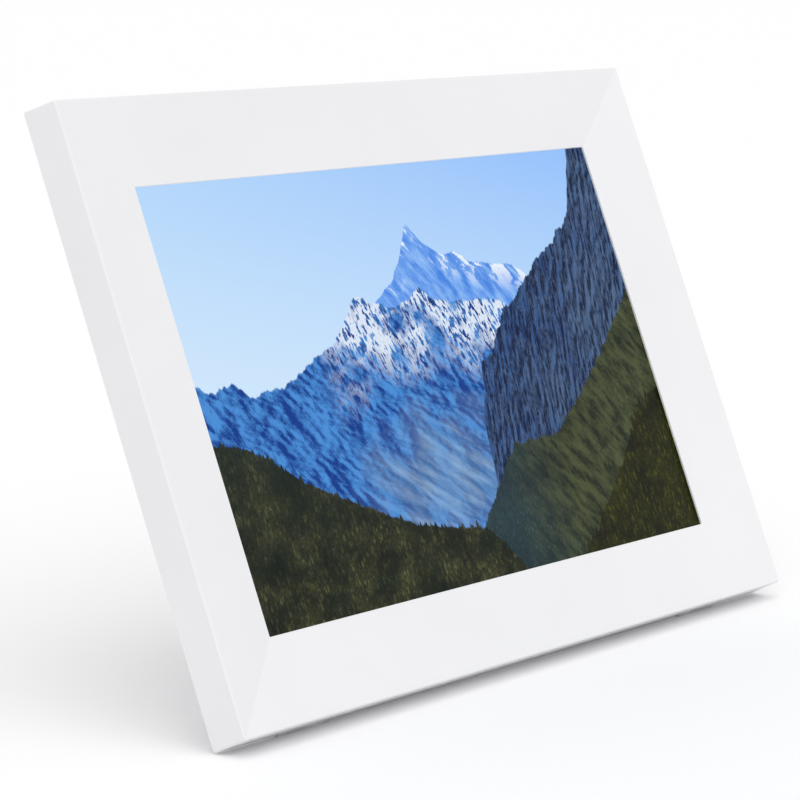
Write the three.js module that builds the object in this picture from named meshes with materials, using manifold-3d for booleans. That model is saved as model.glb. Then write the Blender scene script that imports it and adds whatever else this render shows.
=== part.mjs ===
// Digital photo frame with a 10.1 inch screen, leaning back on its fold-out leg.
//
// Panel axes, in millimetres: x runs to the viewer's right, y runs from the front rim to the back,
// and z runs up the panel from the bottom edge of its rim. The whole panel is then leaned back
// about x and stood on z = 0, with its feet in front and its leg behind.

import * as THREE from 'three';
import { mergeVertices } from 'three/addons/utils/BufferGeometryUtils.js';
import Module from 'manifold-3d';

const wasm = await Module();
wasm.setup();

// ---------------------------------------------------------------- driving dimensions

const lean = THREE.MathUtils.degToRad(22.5);
const legOpening = THREE.MathUtils.degToRad(35);
const gap = 0.3;
const floorClearance = 0.2;

// front frame moulding
const frameWidth = 271;
const frameHeight = 190;
const borderWidth = 26.5;
const lipDepth = 5.0;
const lipThickness = 0.8;
const sideDepth = 12.8;
const sideDraft = 0.9;
const edgeRadius = 0.6;
const wall = 2.2;

// screen module, a 16:10 panel
const activeWidth = 217;
const activeHeight = 135.6;
const moduleWidth = 229.5;
const moduleHeight = 149;
const glassFront = 6.4;
const glassThickness = 1.1;
const trayBack = 10.5;
const traySheet = 0.5;

// rear cover: a flange inside the frame's rear edge, and a raised box
const flangeFront = 11.0;
const boxBack = 26;
const boxWidth = 242;
const boxHeight = 174;
const boxCorner = 10;
const boxDraft = 2.8;
const flangeWidth = 267;
const flangeHeight = 186;

// stand leg and its recess
const hingeDepth = 22.9;
const hingeHeight = 122;
const recessHalfWidth = 22.5;
const recessTop = 128;
const recessFloor = 19.4;
const recessWall = 2;
const legThickness = 5;
const legTopWidth = 40;
const legFootWidth = 43;
const barrelRadius = 3;
const pinRadius = 1.5;
const pinLength = 48.4;
const padThickness = 1.8;

// electronics
const boardFront = 13;
const boardThickness = 1.6;
const boardLeft = 24;
const boardRight = 116;
const boardBottom = 20;
const boardTop = 106;
const partsOnBoard = boardFront + boardThickness + 0.1;

// controls
const buttonX = 96;
const buttonPitch = 12;
const firstButtonHeight = 114;
const buttonNames = ['down_button', 'up_button', 'play_button', 'menu_button', 'power_button'];
const keyBoardFront = 15.7;

// speakers
const speakerX = 66;
const speakerHeight = 145;

const centreHeight = frameHeight / 2;
const boxInnerFace = boxBack - wall;

// ---------------------------------------------------------------- materials

function finish(color, roughness, metalness = 0) {
  return new THREE.MeshStandardMaterial({ color, roughness, metalness });
}

const whitePlastic = finish(0xf0f0f3, 0.42);
const backPlastic = finish(0xe9e9ec, 0.5);
const buttonPlastic = finish(0xdcdce0, 0.4);
const blackPlastic = finish(0x16171a, 0.5);
const chassisPlastic = finish(0xf6f6f4, 0.6);
const rubber = finish(0xb4b4b8, 0.8);
const foam = finish(0x202022, 1.0);
const screenGlass = finish(0x1b2a3c, 0.15);
const acrylic = finish(0xe8f2f4, 0.1);
const filmSheet = finish(0xfbfbfb, 0.4);
const steel = finish(0xb9bcc0, 0.35, 1);
const screwSteel = finish(0x8d9095, 0.3, 1);
const boardGreen = finish(0x0f5c3a, 0.5);
const chipBlack = finish(0x1c1c1e, 0.6);
const canAluminium = finish(0xc8ccd0, 0.3, 1);
const cableFilm = finish(0xb8763a, 0.5);
const leadRed = finish(0xa82020, 0.6);

// ---------------------------------------------------------------- solids from geometry

function signedVolume(positions, index) {
  const a = new THREE.Vector3();
  const b = new THREE.Vector3();
  const c = new THREE.Vector3();
  let total = 0;
  for (let i = 0; i < index.length; i += 3) {
    a.fromArray(positions, 3 * index[i]);
    b.fromArray(positions, 3 * index[i + 1]);
    c.fromArray(positions, 3 * index[i + 2]);
    total += a.dot(b.cross(c)) / 6;
  }
  return total;
}

// A closed geometry as a solid, with its faces turned to point out.
function solidOf(geometry) {
  const bare = geometry.clone();
  bare.deleteAttribute('normal');
  bare.deleteAttribute('uv');
  const merged = mergeVertices(bare, 1e-4);
  const positions = new Float32Array(merged.attributes.position.array);
  const index = new Uint32Array(merged.index.array);
  if (signedVolume(positions, index) < 0) {
    index.reverse();
  }
  const mesh = new wasm.Mesh({ numProp: 3, vertProperties: positions, triVerts: index });
  return new wasm.Manifold(mesh);
}

function geometryOf(solid) {
  const mesh = solid.getMesh();
  const geometry = new THREE.BufferGeometry();
  const positions = new Float32Array(mesh.vertProperties);
  geometry.setAttribute('position', new THREE.BufferAttribute(positions, 3));
  geometry.setIndex(new THREE.BufferAttribute(new Uint32Array(mesh.triVerts), 1));
  geometry.computeVertexNormals();
  return geometry;
}

function joined(solids) {
  return solids.reduce((whole, next) => whole.add(next));
}

function cut(solid, tools) {
  return tools.reduce((rest, tool) => rest.subtract(tool), solid);
}

// ---------------------------------------------------------------- basic shapes

// A block between two values on each axis.
function block(x, y, z) {
  const geometry = new THREE.BoxGeometry(x[1] - x[0], y[1] - y[0], z[1] - z[0]);
  geometry.translate((x[0] + x[1]) / 2, (y[0] + y[1]) / 2, (z[0] + z[1]) / 2);
  return solidOf(geometry);
}

// A block given by its centre in the panel's plane, its size there, and its two depths.
function slab(centreX, centreZ, width, height, front, back) {
  const x = [centreX - width / 2, centreX + width / 2];
  const z = [centreZ - height / 2, centreZ + height / 2];
  return block(x, [front, back], z);
}

// A cylinder along y, through the panel's depth.
function rod(x, z, radius, front, back, sides = 20) {
  const geometry = new THREE.CylinderGeometry(radius, radius, back - front, sides);
  geometry.translate(x, (front + back) / 2, z);
  return solidOf(geometry);
}

// A cylinder along x.
function axle(x, y, z, radius, sides = 20) {
  const geometry = new THREE.CylinderGeometry(radius, radius, x[1] - x[0], sides);
  geometry.rotateZ(Math.PI / 2);
  geometry.translate((x[0] + x[1]) / 2, y, z);
  return solidOf(geometry);
}

// The corner-rounded outline of a section: width, height and corner radius, at a depth y.
function sectionPoints({ width, height, radius, y, centreX = 0, centreZ = centreHeight }, steps = 5) {
  const points = [];
  for (const quarter of [0, 1, 2, 3]) {
    const sideX = quarter === 0 || quarter === 3 ? 1 : -1;
    const sideZ = quarter < 2 ? 1 : -1;
    const cornerX = centreX + sideX * (width / 2 - radius);
    const cornerZ = centreZ + sideZ * (height / 2 - radius);
    for (let step = 0; step <= steps; step += 1) {
      const angle = (quarter + step / steps) * Math.PI / 2;
      const x = cornerX + radius * Math.cos(angle);
      const z = cornerZ + radius * Math.sin(angle);
      points.push(new THREE.Vector3(x, y, z));
    }
  }
  return points;
}

// A closed body through a row of corner-rounded sections, capped at both ends.
function loft(sections, steps = 5) {
  const rings = sections.map((section) => sectionPoints(section, steps));
  const count = rings[0].length;
  const positions = rings.flat().flatMap((point) => point.toArray());
  const index = [];
  for (let ring = 0; ring + 1 < rings.length; ring += 1) {
    for (let i = 0; i < count; i += 1) {
      const here = ring * count + i;
      const next = ring * count + (i + 1) % count;
      index.push(here, next, here + count, next, next + count, here + count);
    }
  }
  const last = (rings.length - 1) * count;
  for (let i = 1; i + 1 < count; i += 1) {
    index.push(0, i + 1, i);
    index.push(last, last + i, last + i + 1);
  }
  const geometry = new THREE.BufferGeometry();
  geometry.setAttribute('position', new THREE.Float32BufferAttribute(positions, 3));
  geometry.setIndex(index);
  return solidOf(geometry);
}

// A rectangular ring with mitred corners. Each profile point is an inset from the frame's rim
// and a depth, and the profile closes on itself.
function mitredRing(profile) {
  const positions = [];
  for (const [inset, depth] of profile) {
    const halfWidth = frameWidth / 2 - inset;
    const halfHeight = frameHeight / 2 - inset;
    for (const [sideX, sideZ] of [[-1, -1], [1, -1], [1, 1], [-1, 1]]) {
      positions.push(sideX * halfWidth, depth, centreHeight + sideZ * halfHeight);
    }
  }
  const index = [];
  for (let row = 0; row < profile.length; row += 1) {
    const nextRow = (row + 1) % profile.length;
    for (let corner = 0; corner < 4; corner += 1) {
      const nextCorner = (corner + 1) % 4;
      const a = 4 * row + corner;
      const b = 4 * row + nextCorner;
      const c = 4 * nextRow + nextCorner;
      const d = 4 * nextRow + corner;
      index.push(a, b, c, a, c, d);
    }
  }
  const geometry = new THREE.BufferGeometry();
  geometry.setAttribute('position', new THREE.Float32BufferAttribute(positions, 3));
  geometry.setIndex(index);
  return solidOf(geometry);
}

// A body turned about y from a profile of [radius, y] points that starts and ends on the axis.
function turned(profile, sides = 16) {
  return solidOf(new THREE.LatheGeometry(profile.map(([r, y]) => new THREE.Vector2(r, y)), sides));
}

// A thin round lead or wire along a smooth curve.
function wire(points, radius, steps) {
  const outline = new THREE.Shape();
  outline.absarc(0, 0, radius, 0, 2 * Math.PI, false);
  const route = new THREE.CatmullRomCurve3(points.map((point) => new THREE.Vector3(...point)));
  const options = { steps, curveSegments: 6, bevelEnabled: false, extrudePath: route };
  return solidOf(new THREE.ExtrudeGeometry(outline, options));
}

// ---------------------------------------------------------------- assembly

const object = new THREE.Group();
const panel = new THREE.Group();
panel.rotation.x = -lean;
object.add(panel);

function place(name, solid, material, position = [0, 0, 0], parent = panel) {
  const mesh = new THREE.Mesh(geometryOf(solid), material);
  mesh.name = name;
  mesh.position.set(...position);
  parent.add(mesh);
  return mesh;
}

// The rear bottom edge of the frame, the lowest line of the leaned panel.
const across = new THREE.Vector3(1, 0, 0);
const restEdge = new THREE.Vector3(0, sideDepth, -sideDraft).applyAxisAngle(across, -lean);
const floorHeight = restEdge.z - floorClearance;

// ---------------------------------------------------------------- front frame

const facetSlope = lipDepth / (borderWidth - edgeRadius);

function facetDepth(inset) {
  return (inset - edgeRadius) * facetSlope;
}

const bracketScrewX = 70;
const bracketScrewOffset = 80;
const coverScrewX = 127.5;
const coverScrewOffset = 75;
const footX = 100;
const footWidth = 22;
const footHeight = 1.2;
const footSole = 1.0;
const footTop = 2.65;

// Positions of a set of four fasteners, mirrored about the panel's middle.
function fourCorners(x, offset) {
  const corners = [];
  for (const sideZ of [-1, 1]) {
    for (const sideX of [-1, 1]) {
      corners.push([sideX * x, centreHeight + sideZ * offset]);
    }
  }
  return corners;
}

// A round post that stands back to y = back, and the screw hole in its end.
function boss(x, z, front, back, radius, boreRadius, boreDepth) {
  const post = rod(x, z, radius, front, back);
  const bore = rod(x, z, boreRadius, back - boreDepth, back + 1, 12);
  return { post, bore };
}

// A world-level wedge at the rear bottom edge, turned back into panel axes.
function levelBlock(x, y, z) {
  const geometry = new THREE.BoxGeometry(x[1] - x[0], y[1] - y[0], z[1] - z[0]);
  geometry.translate((x[0] + x[1]) / 2, restEdge.y + (y[0] + y[1]) / 2, restEdge.z + (z[0] + z[1]) / 2);
  geometry.rotateX(lean);
  return solidOf(geometry);
}

function frontFrame() {
  const locatorInner = (frameWidth - moduleWidth) / 2 - gap;
  const locatorOuter = locatorInner - 2;
  const locatorBack = 10;
  const profile = [[-sideDraft, sideDepth]];
  const filletSteps = 5;
  for (let step = 0; step <= filletSteps; step += 1) {
    const angle = step / filletSteps * Math.PI / 2;
    profile.push([edgeRadius * (1 - Math.cos(angle)), edgeRadius * (1 - Math.sin(angle))]);
  }
  profile.push([borderWidth, lipDepth]);
  profile.push([borderWidth, lipDepth + lipThickness]);
  profile.push([locatorInner, lipDepth + lipThickness]);
  profile.push([locatorInner, locatorBack]);
  profile.push([locatorOuter, locatorBack]);
  profile.push([locatorOuter, facetDepth(locatorOuter) + wall]);
  profile.push([wall + 0.2, facetDepth(wall + 0.2) + wall + 0.4]);
  profile.push([1.5, sideDepth]);
  const ring = mitredRing(profile);

  const bosses = [];
  for (const [x, z] of fourCorners(bracketScrewX, bracketScrewOffset)) {
    bosses.push(boss(x, z, 4.4, trayBack, 3.2, 1.3, 5));
  }
  for (const [x, z] of fourCorners(coverScrewX, coverScrewOffset)) {
    bosses.push(boss(x, z, 3.0, flangeFront - gap, 3.4, 1.5, 6));
  }
  const notches = [-footX, footX].map((x) => levelBlock(
    [x - footWidth / 2 - gap, x + footWidth / 2 + gap], [-6, 4], [-2, footHeight + gap]));
  const body = joined([ring, ...bosses.map(({ post }) => post)]);
  return cut(body, [...bosses.map(({ bore }) => bore), ...notches]);
}

place('front_frame', frontFrame(), whitePlastic);

// A slim silicone strip let into the rear bottom edge. Its sole is level and its face slopes up to
// meet the underside.
function foot() {
  const soleBack = 0.1;
  const topBack = 0.35;
  const outline = new THREE.Shape();
  outline.moveTo(soleBack - footSole, -floorClearance);
  outline.lineTo(soleBack, -floorClearance);
  outline.lineTo(topBack, footHeight);
  outline.lineTo(topBack - footTop, footHeight);
  outline.closePath();
  const geometry = new THREE.ExtrudeGeometry(outline, { depth: footWidth, bevelEnabled: false });
  geometry.rotateY(Math.PI / 2);
  geometry.rotateX(Math.PI / 2);
  geometry.translate(-footWidth / 2, 0, 0);
  return solidOf(geometry);
}

for (const [name, x] of [['foot_left', -footX], ['foot_right', footX]]) {
  place(name, foot(), rubber, [x, restEdge.y, restEdge.z], object);
}

// ---------------------------------------------------------------- screen module

function rectangularRing(outerWidth, outerHeight, innerWidth, innerHeight, front, back) {
  const outer = slab(0, centreHeight, outerWidth, outerHeight, front, back);
  return outer.subtract(slab(0, centreHeight, innerWidth, innerHeight, front - 1, back + 1));
}

const openingWidth = frameWidth - 2 * borderWidth;
const openingHeight = frameHeight - 2 * borderWidth;
const glassBack = glassFront + glassThickness;
const glassWidth = moduleWidth - 2 * traySheet - 0.6;
const glassHeight = moduleHeight - 2 * traySheet - 0.6;
const guideFront = 8.1;
const guideBack = 9.8;
const flexHeight = 61;
const flexWidth = 22;

const gasket = rectangularRing(openingWidth + 9, openingHeight + 9, openingWidth + 2, openingHeight + 2,
  lipDepth + lipThickness + 0.1, glassFront - 0.1);
place('screen_gasket', gasket, foam);

place('lcd_glass', slab(0, centreHeight, glassWidth, glassHeight, glassFront, glassBack), screenGlass);

const films = slab(0, centreHeight, activeWidth + 4, activeHeight + 4, glassBack + 0.1, guideFront - 0.1);
place('lcd_optical_films', films, filmSheet);

const ledStripTop = centreHeight - activeHeight / 2 - 2.4;
const guideBottom = ledStripTop + gap;
const guideTop = centreHeight + activeHeight / 2 + 2.2;
const guideHalfWidth = activeWidth / 2 + 2.2;
const guide = block([-guideHalfWidth, guideHalfWidth], [guideFront, guideBack], [guideBottom, guideTop]);
place('lcd_light_guide', guide, acrylic);

// A strip of small light-emitting diodes on a narrow board, shining up into the light guide.
function ledStrip() {
  const halfWidth = activeWidth / 2;
  const stripHeights = [ledStripTop - 1.5, ledStripTop - 0.7];
  const strip = block([-halfWidth, halfWidth], [guideFront, guideBack], stripHeights);
  const diodes = [];
  const diodeCount = 12;
  const pitch = 2 * halfWidth / diodeCount;
  for (let i = 0; i < diodeCount; i += 1) {
    const x = -halfWidth + (i + 0.5) * pitch;
    diodes.push(slab(x, ledStripTop - 0.4, 3.8, 0.8, guideFront + 0.3, guideBack - 0.3));
  }
  return joined([strip, ...diodes]);
}

place('lcd_led_strip', ledStrip(), chassisPlastic);

const chassis = rectangularRing(glassWidth, glassHeight, activeWidth + 5.2, activeHeight + 9,
  glassBack + 0.1, guideBack);
place('lcd_chassis', chassis, chassisPlastic);

function backTray() {
  const shell = slab(0, centreHeight, moduleWidth, moduleHeight, glassFront + 0.2, trayBack);
  const inside = slab(0, centreHeight, moduleWidth - 2 * traySheet, moduleHeight - 2 * traySheet,
    glassFront - 1, trayBack - traySheet);
  const cableSlot = slab(-12, flexHeight, 3, flexWidth + 2, trayBack - 2, trayBack + 1);
  return cut(shell, [inside, cableSlot]);
}

place('lcd_back_tray', backTray(), steel);

// A stamped strip over the tray's edge, screwed to two bosses of the front frame.
function screenBracket(centreZ) {
  const strip = slab(0, centreZ, 2 * bracketScrewX + 12, 11, trayBack + 0.1, trayBack + 0.9);
  const holes = [-bracketScrewX, bracketScrewX].map((x) => {
    const side = centreZ < centreHeight ? -1 : 1;
    return rod(x, centreHeight + side * bracketScrewOffset, 1.5, trayBack - 1, trayBack + 2, 12);
  });
  return cut(strip, holes);
}

place('lcd_bracket_bottom', screenBracket(centreHeight - 77), steel);
place('lcd_bracket_top', screenBracket(centreHeight + 77), steel);

// A pan-head screw with a cross recess. Its head's seat is at y = 0 and its shank points to -y.
function screw(headRadius, headHeight, shankRadius, length) {
  const body = turned([
    [0, -length],
    [shankRadius * 0.6, -length],
    [shankRadius, -length + shankRadius],
    [shankRadius, 0],
    [headRadius, 0],
    [headRadius, headHeight * 0.45],
    [headRadius * 0.72, headHeight],
    [0, headHeight],
  ], 12);
  const arm = headRadius * 0.5;
  const slot = headRadius * 0.13;
  const recessDepths = [headHeight * 0.45, headHeight + 1];
  const level = block([-arm, arm], recessDepths, [-slot, slot]);
  const upright = block([-slot, slot], recessDepths, [-arm, arm]);
  return cut(body, [level, upright]);
}

fourCorners(bracketScrewX, bracketScrewOffset).forEach(([x, z], i) => {
  place(`lcd_bracket_screw_${i + 1}`, screw(2.5, 1.2, 1.1, 4.5), screwSteel, [x, trayBack + 1.0, z]);
});

// ---------------------------------------------------------------- socket sizes, for board and cover

// size is [depth into the box along x, height off the board along y, width along z]
const sockets = [
  { name: 'dc_power_jack', z: 28, size: [13, 6.6, 9.4], material: blackPlastic },
  { name: 'headphone_jack', z: 40.5, size: [12, 5.6, 6.4], material: blackPlastic },
  { name: 'mini_usb_socket', z: 51.5, size: [9.2, 4, 7.8], material: steel },
  { name: 'usb_socket', z: 65.5, size: [14.4, 7, 14.4], material: steel },
  { name: 'sd_card_slot', z: 89.5, size: [29, 3.1, 27.6], material: steel },
];
const socketFace = 118.4;

const boardScrewSpots = [[29.5, 26], [29.5, 100.5], [98, 55]];

// ---------------------------------------------------------------- rear cover

function boxSection(y, inward, radius) {
  return { width: boxWidth - 2 * inward, height: boxHeight - 2 * inward, radius, y };
}

function slotRow(centreX, centreZ, count, pitch, width, height) {
  const slots = [];
  for (let i = 0; i < count; i += 1) {
    const x = centreX + (i - (count - 1) / 2) * pitch;
    slots.push(slab(x, centreZ, width, height, boxInnerFace - 1, boxBack + 1));
  }
  return slots;
}

function keyhole(x, z) {
  const entry = rod(x, z, 4.25, boxInnerFace - 1, boxBack + 1, 24);
  const neck = slab(x, z + 5, 4.4, 10, boxInnerFace - 1, boxBack + 1);
  const neckEnd = rod(x, z + 10, 2.2, boxInnerFace - 1, boxBack + 1, 16);
  return joined([entry, neck, neckEnd]);
}

const keyholeX = 38;
const keyholeZ = 146;

const buttonWidth = 10;
const buttonHeight = 6.6;
const powerDiameter = 8;

function buttonSize(name) {
  return name === 'power_button' ? [powerDiameter, powerDiameter] : [buttonWidth, buttonHeight];
}

function buttonZ(i) {
  return firstButtonHeight + i * buttonPitch;
}

function buttonHole(name, i) {
  const [width, height] = buttonSize(name);
  const outline = {
    width: width + 2 * gap, height: height + 2 * gap, centreX: buttonX, centreZ: buttonZ(i),
  };
  const radius = Math.min(height / 2 - 0.05, name === 'power_button' ? height : 2) + gap;
  return loft([{ ...outline, radius, y: boxInnerFace - 1 }, { ...outline, radius, y: boxBack + 1 }]);
}

function rearCover() {
  const flange = loft([
    { width: flangeWidth, height: flangeHeight, radius: 1.5, y: flangeFront },
    { width: flangeWidth, height: flangeHeight, radius: 1.5, y: sideDepth },
  ]);
  const box = loft([
    boxSection(sideDepth - 0.8, 0, boxCorner),
    boxSection(boxBack - 2, boxDraft, boxCorner - 1),
    boxSection(boxBack - 0.7, boxDraft + 0.6, boxCorner - 1.5),
    boxSection(boxBack, boxDraft + 1.8, boxCorner - 2),
  ]);
  const cavity = loft([
    boxSection(flangeFront - 1, wall, boxCorner - 2),
    boxSection(boxInnerFace, boxDraft + wall, boxCorner - 3),
  ]);
  const shell = flange.add(box).subtract(cavity);

  const recessSkin = block([-recessHalfWidth - recessWall, recessHalfWidth + recessWall],
    [recessFloor - recessWall, boxBack], [0, recessTop + recessWall]).intersect(box);
  const recess = block([-recessHalfWidth, recessHalfWidth], [recessFloor, boxBack + 1], [-5, recessTop]);
  const boreHalfLength = recessHalfWidth + 4;
  const pinBore = axle([-boreHalfLength, boreHalfLength], hingeDepth, hingeHeight, pinRadius + 0.05);

  const rooted = boxInnerFace + 0.5;
  const boardPosts = boardScrewSpots.map(([x, z]) => rod(x, z, 3.2, partsOnBoard, rooted));
  const boardBores = boardScrewSpots.map(([x, z]) =>
    rod(x, z, 1.3, partsOnBoard - 1, partsOnBoard + 6, 12));
  const keyPosts = [buttonZ(0) - 9, buttonZ(4) + 9].map((z) =>
    rod(buttonX, z, 2, keyBoardFront + boardThickness + gap, rooted, 16));

  const speakerWalls = [-speakerX, speakerX].map((x) => {
    const outer = slab(x, speakerHeight, 38.2, 30.2, 20, rooted);
    return outer.subtract(slab(x, speakerHeight, 34.8, 26.8, 19, boxInnerFace));
  });

  const portHoles = sockets.map(({ z, size }) => block(
    [socketFace - size[0], boxWidth], [partsOnBoard - gap, partsOnBoard + size[1] + gap],
    [z - size[2] / 2 - gap, z + size[2] / 2 + gap]));

  const screwHoles = fourCorners(coverScrewX, coverScrewOffset).map(([x, z]) =>
    rod(x, z, 1.9, flangeFront - 1, sideDepth + 1, 16));

  const grilles = [-speakerX, speakerX].flatMap((x) => slotRow(x, speakerHeight, 7, 3.6, 1.6, 15));
  const vents = [-64, 64].flatMap((x) => slotRow(x, 78, 8, 5, 2, 26));
  const keyholes = [-keyholeX, keyholeX].map((x) => keyhole(x, keyholeZ));
  const buttonHoles = buttonNames.map(buttonHole);

  const body = joined([shell, recessSkin, ...boardPosts, ...keyPosts, ...speakerWalls]);
  return cut(body, [
    recess, pinBore, ...boardBores, ...portHoles, ...screwHoles,
    ...grilles, ...vents, ...keyholes, ...buttonHoles,
  ]);
}

place('rear_cover', rearCover(), backPlastic);

fourCorners(coverScrewX, coverScrewOffset).forEach(([x, z], i) => {
  place(`cover_screw_${i + 1}`, screw(2.8, 1.3, 1.25, 6), screwSteel, [x, sideDepth + 0.1, z]);
});

// ---------------------------------------------------------------- main board

function mainBoard() {
  const depths = [boardFront, boardFront + boardThickness];
  const board = block([boardLeft, boardRight], depths, [boardBottom, boardTop]);
  return cut(board, boardScrewSpots.map(([x, z]) => rod(x, z, 1.4, boardFront - 1, boardFront + 3, 12)));
}

place('main_board', mainBoard(), boardGreen);

// The board screws come from the front, so each is turned to point backwards.
boardScrewSpots.forEach(([x, z], i) => {
  const mesh = place(`board_screw_${i + 1}`, screw(2.4, 1.1, 1.1, 6), screwSteel, [x, boardFront - 0.1, z]);
  mesh.rotation.x = Math.PI;
});

// A flat chip with its legs as one thin skirt on two sides.
function chip(width, height, thickness, legLength) {
  const body = slab(0, 0, width, height, 0.1, thickness);
  if (legLength === 0) {
    return body;
  }
  return body.add(slab(0, 0, width + 2 * legLength, height * 0.86, 0, thickness * 0.35));
}

const chips = [
  { name: 'processor_chip', at: [62, 58], solid: chip(17, 17, 1.5, 0.9) },
  { name: 'memory_chip', at: [67, 77], solid: chip(22, 10.2, 1.2, 0.8) },
  { name: 'flash_chip', at: [83, 62], solid: chip(12, 18, 1.2, 0.9) },
  { name: 'audio_amp_chip', at: [88, 41], solid: chip(5, 4, 1.5, 0.8) },
];
for (const { name, at, solid } of chips) {
  place(name, solid, chipBlack, [at[0], partsOnBoard, at[1]]);
}

// An open coil former: two flanges with the winding between them.
const inductor = turned([
  [0, 0], [4, 0], [4, 0.9], [3.2, 1.1], [3.2, 2.9], [4, 3.1], [4, 4], [0, 4],
], 14);
place('power_inductor', inductor, chipBlack, [92, partsOnBoard, 29]);

function capacitorCan() {
  const can = turned([
    [0, 0.8], [3.15, 0.8], [3.15, 1.6], [2.9, 1.9], [3.15, 2.2], [3.15, 7.1], [2.8, 7.4], [0, 7.4],
  ], 14);
  return can.add(slab(0, 0, 6.6, 6.6, 0, 0.9));
}

place('capacitor_1', capacitorCan(), canAluminium, [80, partsOnBoard, 30]);
place('capacitor_2', capacitorCan(), canAluminium, [71, partsOnBoard, 30]);

const cellX = 46;
const cellZ = 91;

function cellHolder() {
  const base = slab(0, 0, 17, 14, 0, 0.8);
  const sideWalls = [-1, 1].map((side) => slab(side * 7.7, 0, 1.2, 10, 0, 3.4));
  return joined([base, ...sideWalls]);
}

place('coin_cell_holder', cellHolder(), blackPlastic, [cellX, partsOnBoard, cellZ]);
const coinCell = turned([[0, 0], [6, 0], [6.25, 0.3], [6.25, 1.9], [6, 2.1], [0, 2.1]], 20);
place('coin_cell', coinCell, steel, [cellX, partsOnBoard + 1.0, cellZ]);

// ---------------------------------------------------------------- sockets

// A pressed shell, open at +x, with a contact tongue inside.
function shellSocket([depth, height, width], sheet, tongueWidth, tongueThickness) {
  const shell = block([-depth, 0], [0, height], [-width / 2, width / 2]);
  const mouth = block([-depth + 1.2, 1], [sheet, height - sheet], [-width / 2 + sheet, width / 2 - sheet]);
  const open = shell.subtract(mouth);
  if (tongueWidth === 0) {
    return open;
  }
  const middle = height * 0.62;
  const tongueHeights = [middle, middle + tongueThickness];
  const tongue = block([-depth + 1, -1.6], tongueHeights, [-tongueWidth / 2, tongueWidth / 2]);
  return open.add(tongue);
}

// A solid block with a round bore from +x, and a centre pin where pinRadius isn't 0.
function boredSocket([depth, height, width], boreRadius, boreDepth, centrePinRadius) {
  const body = block([-depth, 0], [0, height], [-width / 2, width / 2]);
  const bored = body.subtract(axle([-boreDepth, 1], height / 2, 0, boreRadius, 24));
  if (centrePinRadius === 0) {
    return bored;
  }
  return bored.add(axle([-boreDepth - 0.5, -1], height / 2, 0, centrePinRadius, 12));
}

const socketSolids = {
  dc_power_jack: (size) => boredSocket(size, 2.75, 9, 0.85),
  headphone_jack: (size) => boredSocket(size, 1.8, 10, 0),
  mini_usb_socket: (size) => shellSocket(size, 0.5, 4.6, 0.8),
  usb_socket: (size) => shellSocket(size, 0.5, 11, 1.6),
  sd_card_slot: (size) => shellSocket(size, 0.4, 0, 0),
};
for (const { name, z, size, material } of sockets) {
  place(name, socketSolids[name](size), material, [socketFace, partsOnBoard, z]);
}

// ---------------------------------------------------------------- screen cable

const connectorX = 29;

function lcdConnector() {
  const body = slab(0, 0, 5, flexWidth + 3, 0, 2.4);
  return body.subtract(block([-3, 0.5], [0.8, 1.6], [-flexWidth / 2 - gap, flexWidth / 2 + gap]));
}

place('lcd_connector', lcdConnector(), chassisPlastic, [connectorX, partsOnBoard, flexHeight]);

// A flat film cable that rises in an S from the tray's back to the connector.
function flexCable() {
  const thickness = 0.25;
  const low = trayBack + 0.3;
  const high = partsOnBoard + 1.1;
  const start = -11.5;
  const riseStart = 4;
  const riseEnd = 20;
  const end = connectorX - 0.2;
  const outline = new THREE.Shape();
  outline.moveTo(start, low);
  outline.lineTo(riseStart, low);
  outline.bezierCurveTo(riseStart + 8, low, riseEnd - 8, high, riseEnd, high);
  outline.lineTo(end, high);
  outline.lineTo(end, high + thickness);
  outline.lineTo(riseEnd, high + thickness);
  outline.bezierCurveTo(
    riseEnd - 8, high + thickness, riseStart + 8, low + thickness, riseStart, low + thickness);
  outline.lineTo(start, low + thickness);
  outline.closePath();
  const options = { depth: flexWidth, bevelEnabled: false, curveSegments: 10 };
  const geometry = new THREE.ExtrudeGeometry(outline, options);
  geometry.translate(0, 0, flexHeight - flexWidth / 2);
  return solidOf(geometry);
}

place('lcd_flex_cable', flexCable(), cableFilm);

// ---------------------------------------------------------------- buttons and their switches

const keyBoardMiddle = (buttonZ(0) + buttonZ(4)) / 2;
const keyBoard = slab(buttonX, keyBoardMiddle, 14, 68, keyBoardFront, keyBoardFront + boardThickness);
place('key_board', keyBoard, boardGreen);

function tactSwitch() {
  return slab(0, 0, 6, 6, 0, 3.4).add(rod(0, 0, 1.7, 3, 4.0, 12));
}

// Origin on the cover's back face. The cap stands proud, and a flange behind the hole keeps it in.
function button(name) {
  const [width, height] = buttonSize(name);
  const radius = name === 'power_button' ? height / 2 - 0.05 : 2;
  const capSection = (y, inward) => ({
    width: width - 2 * inward, height: height - 2 * inward, radius: radius - inward / 2, y, centreZ: 0,
  });
  const behindCover = -wall - gap;
  const cap = loft([
    capSection(behindCover - 0.4, 0),
    capSection(0.5, 0),
    capSection(0.9, 0.3),
    capSection(1.0, 0.8),
  ], 3);
  const flangeSection = (y) => ({
    width: width + 2.4, height: height + 2.4, radius: radius + 0.8, y, centreZ: 0,
  });
  const flange = loft([flangeSection(behindCover - 0.8), flangeSection(behindCover)], 3);
  const stem = rod(0, 0, 1.6, behindCover - 1.3, behindCover - 0.5, 12);
  return joined([cap, flange, stem]);
}

buttonNames.forEach((name, i) => {
  const switchSeat = keyBoardFront + boardThickness + 0.1;
  place(name.replace('button', 'switch'), tactSwitch(), blackPlastic, [buttonX, switchSeat, buttonZ(i)]);
  place(name, button(name), buttonPlastic, [buttonX, boxBack, buttonZ(i)]);
});

// ---------------------------------------------------------------- speakers

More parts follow.
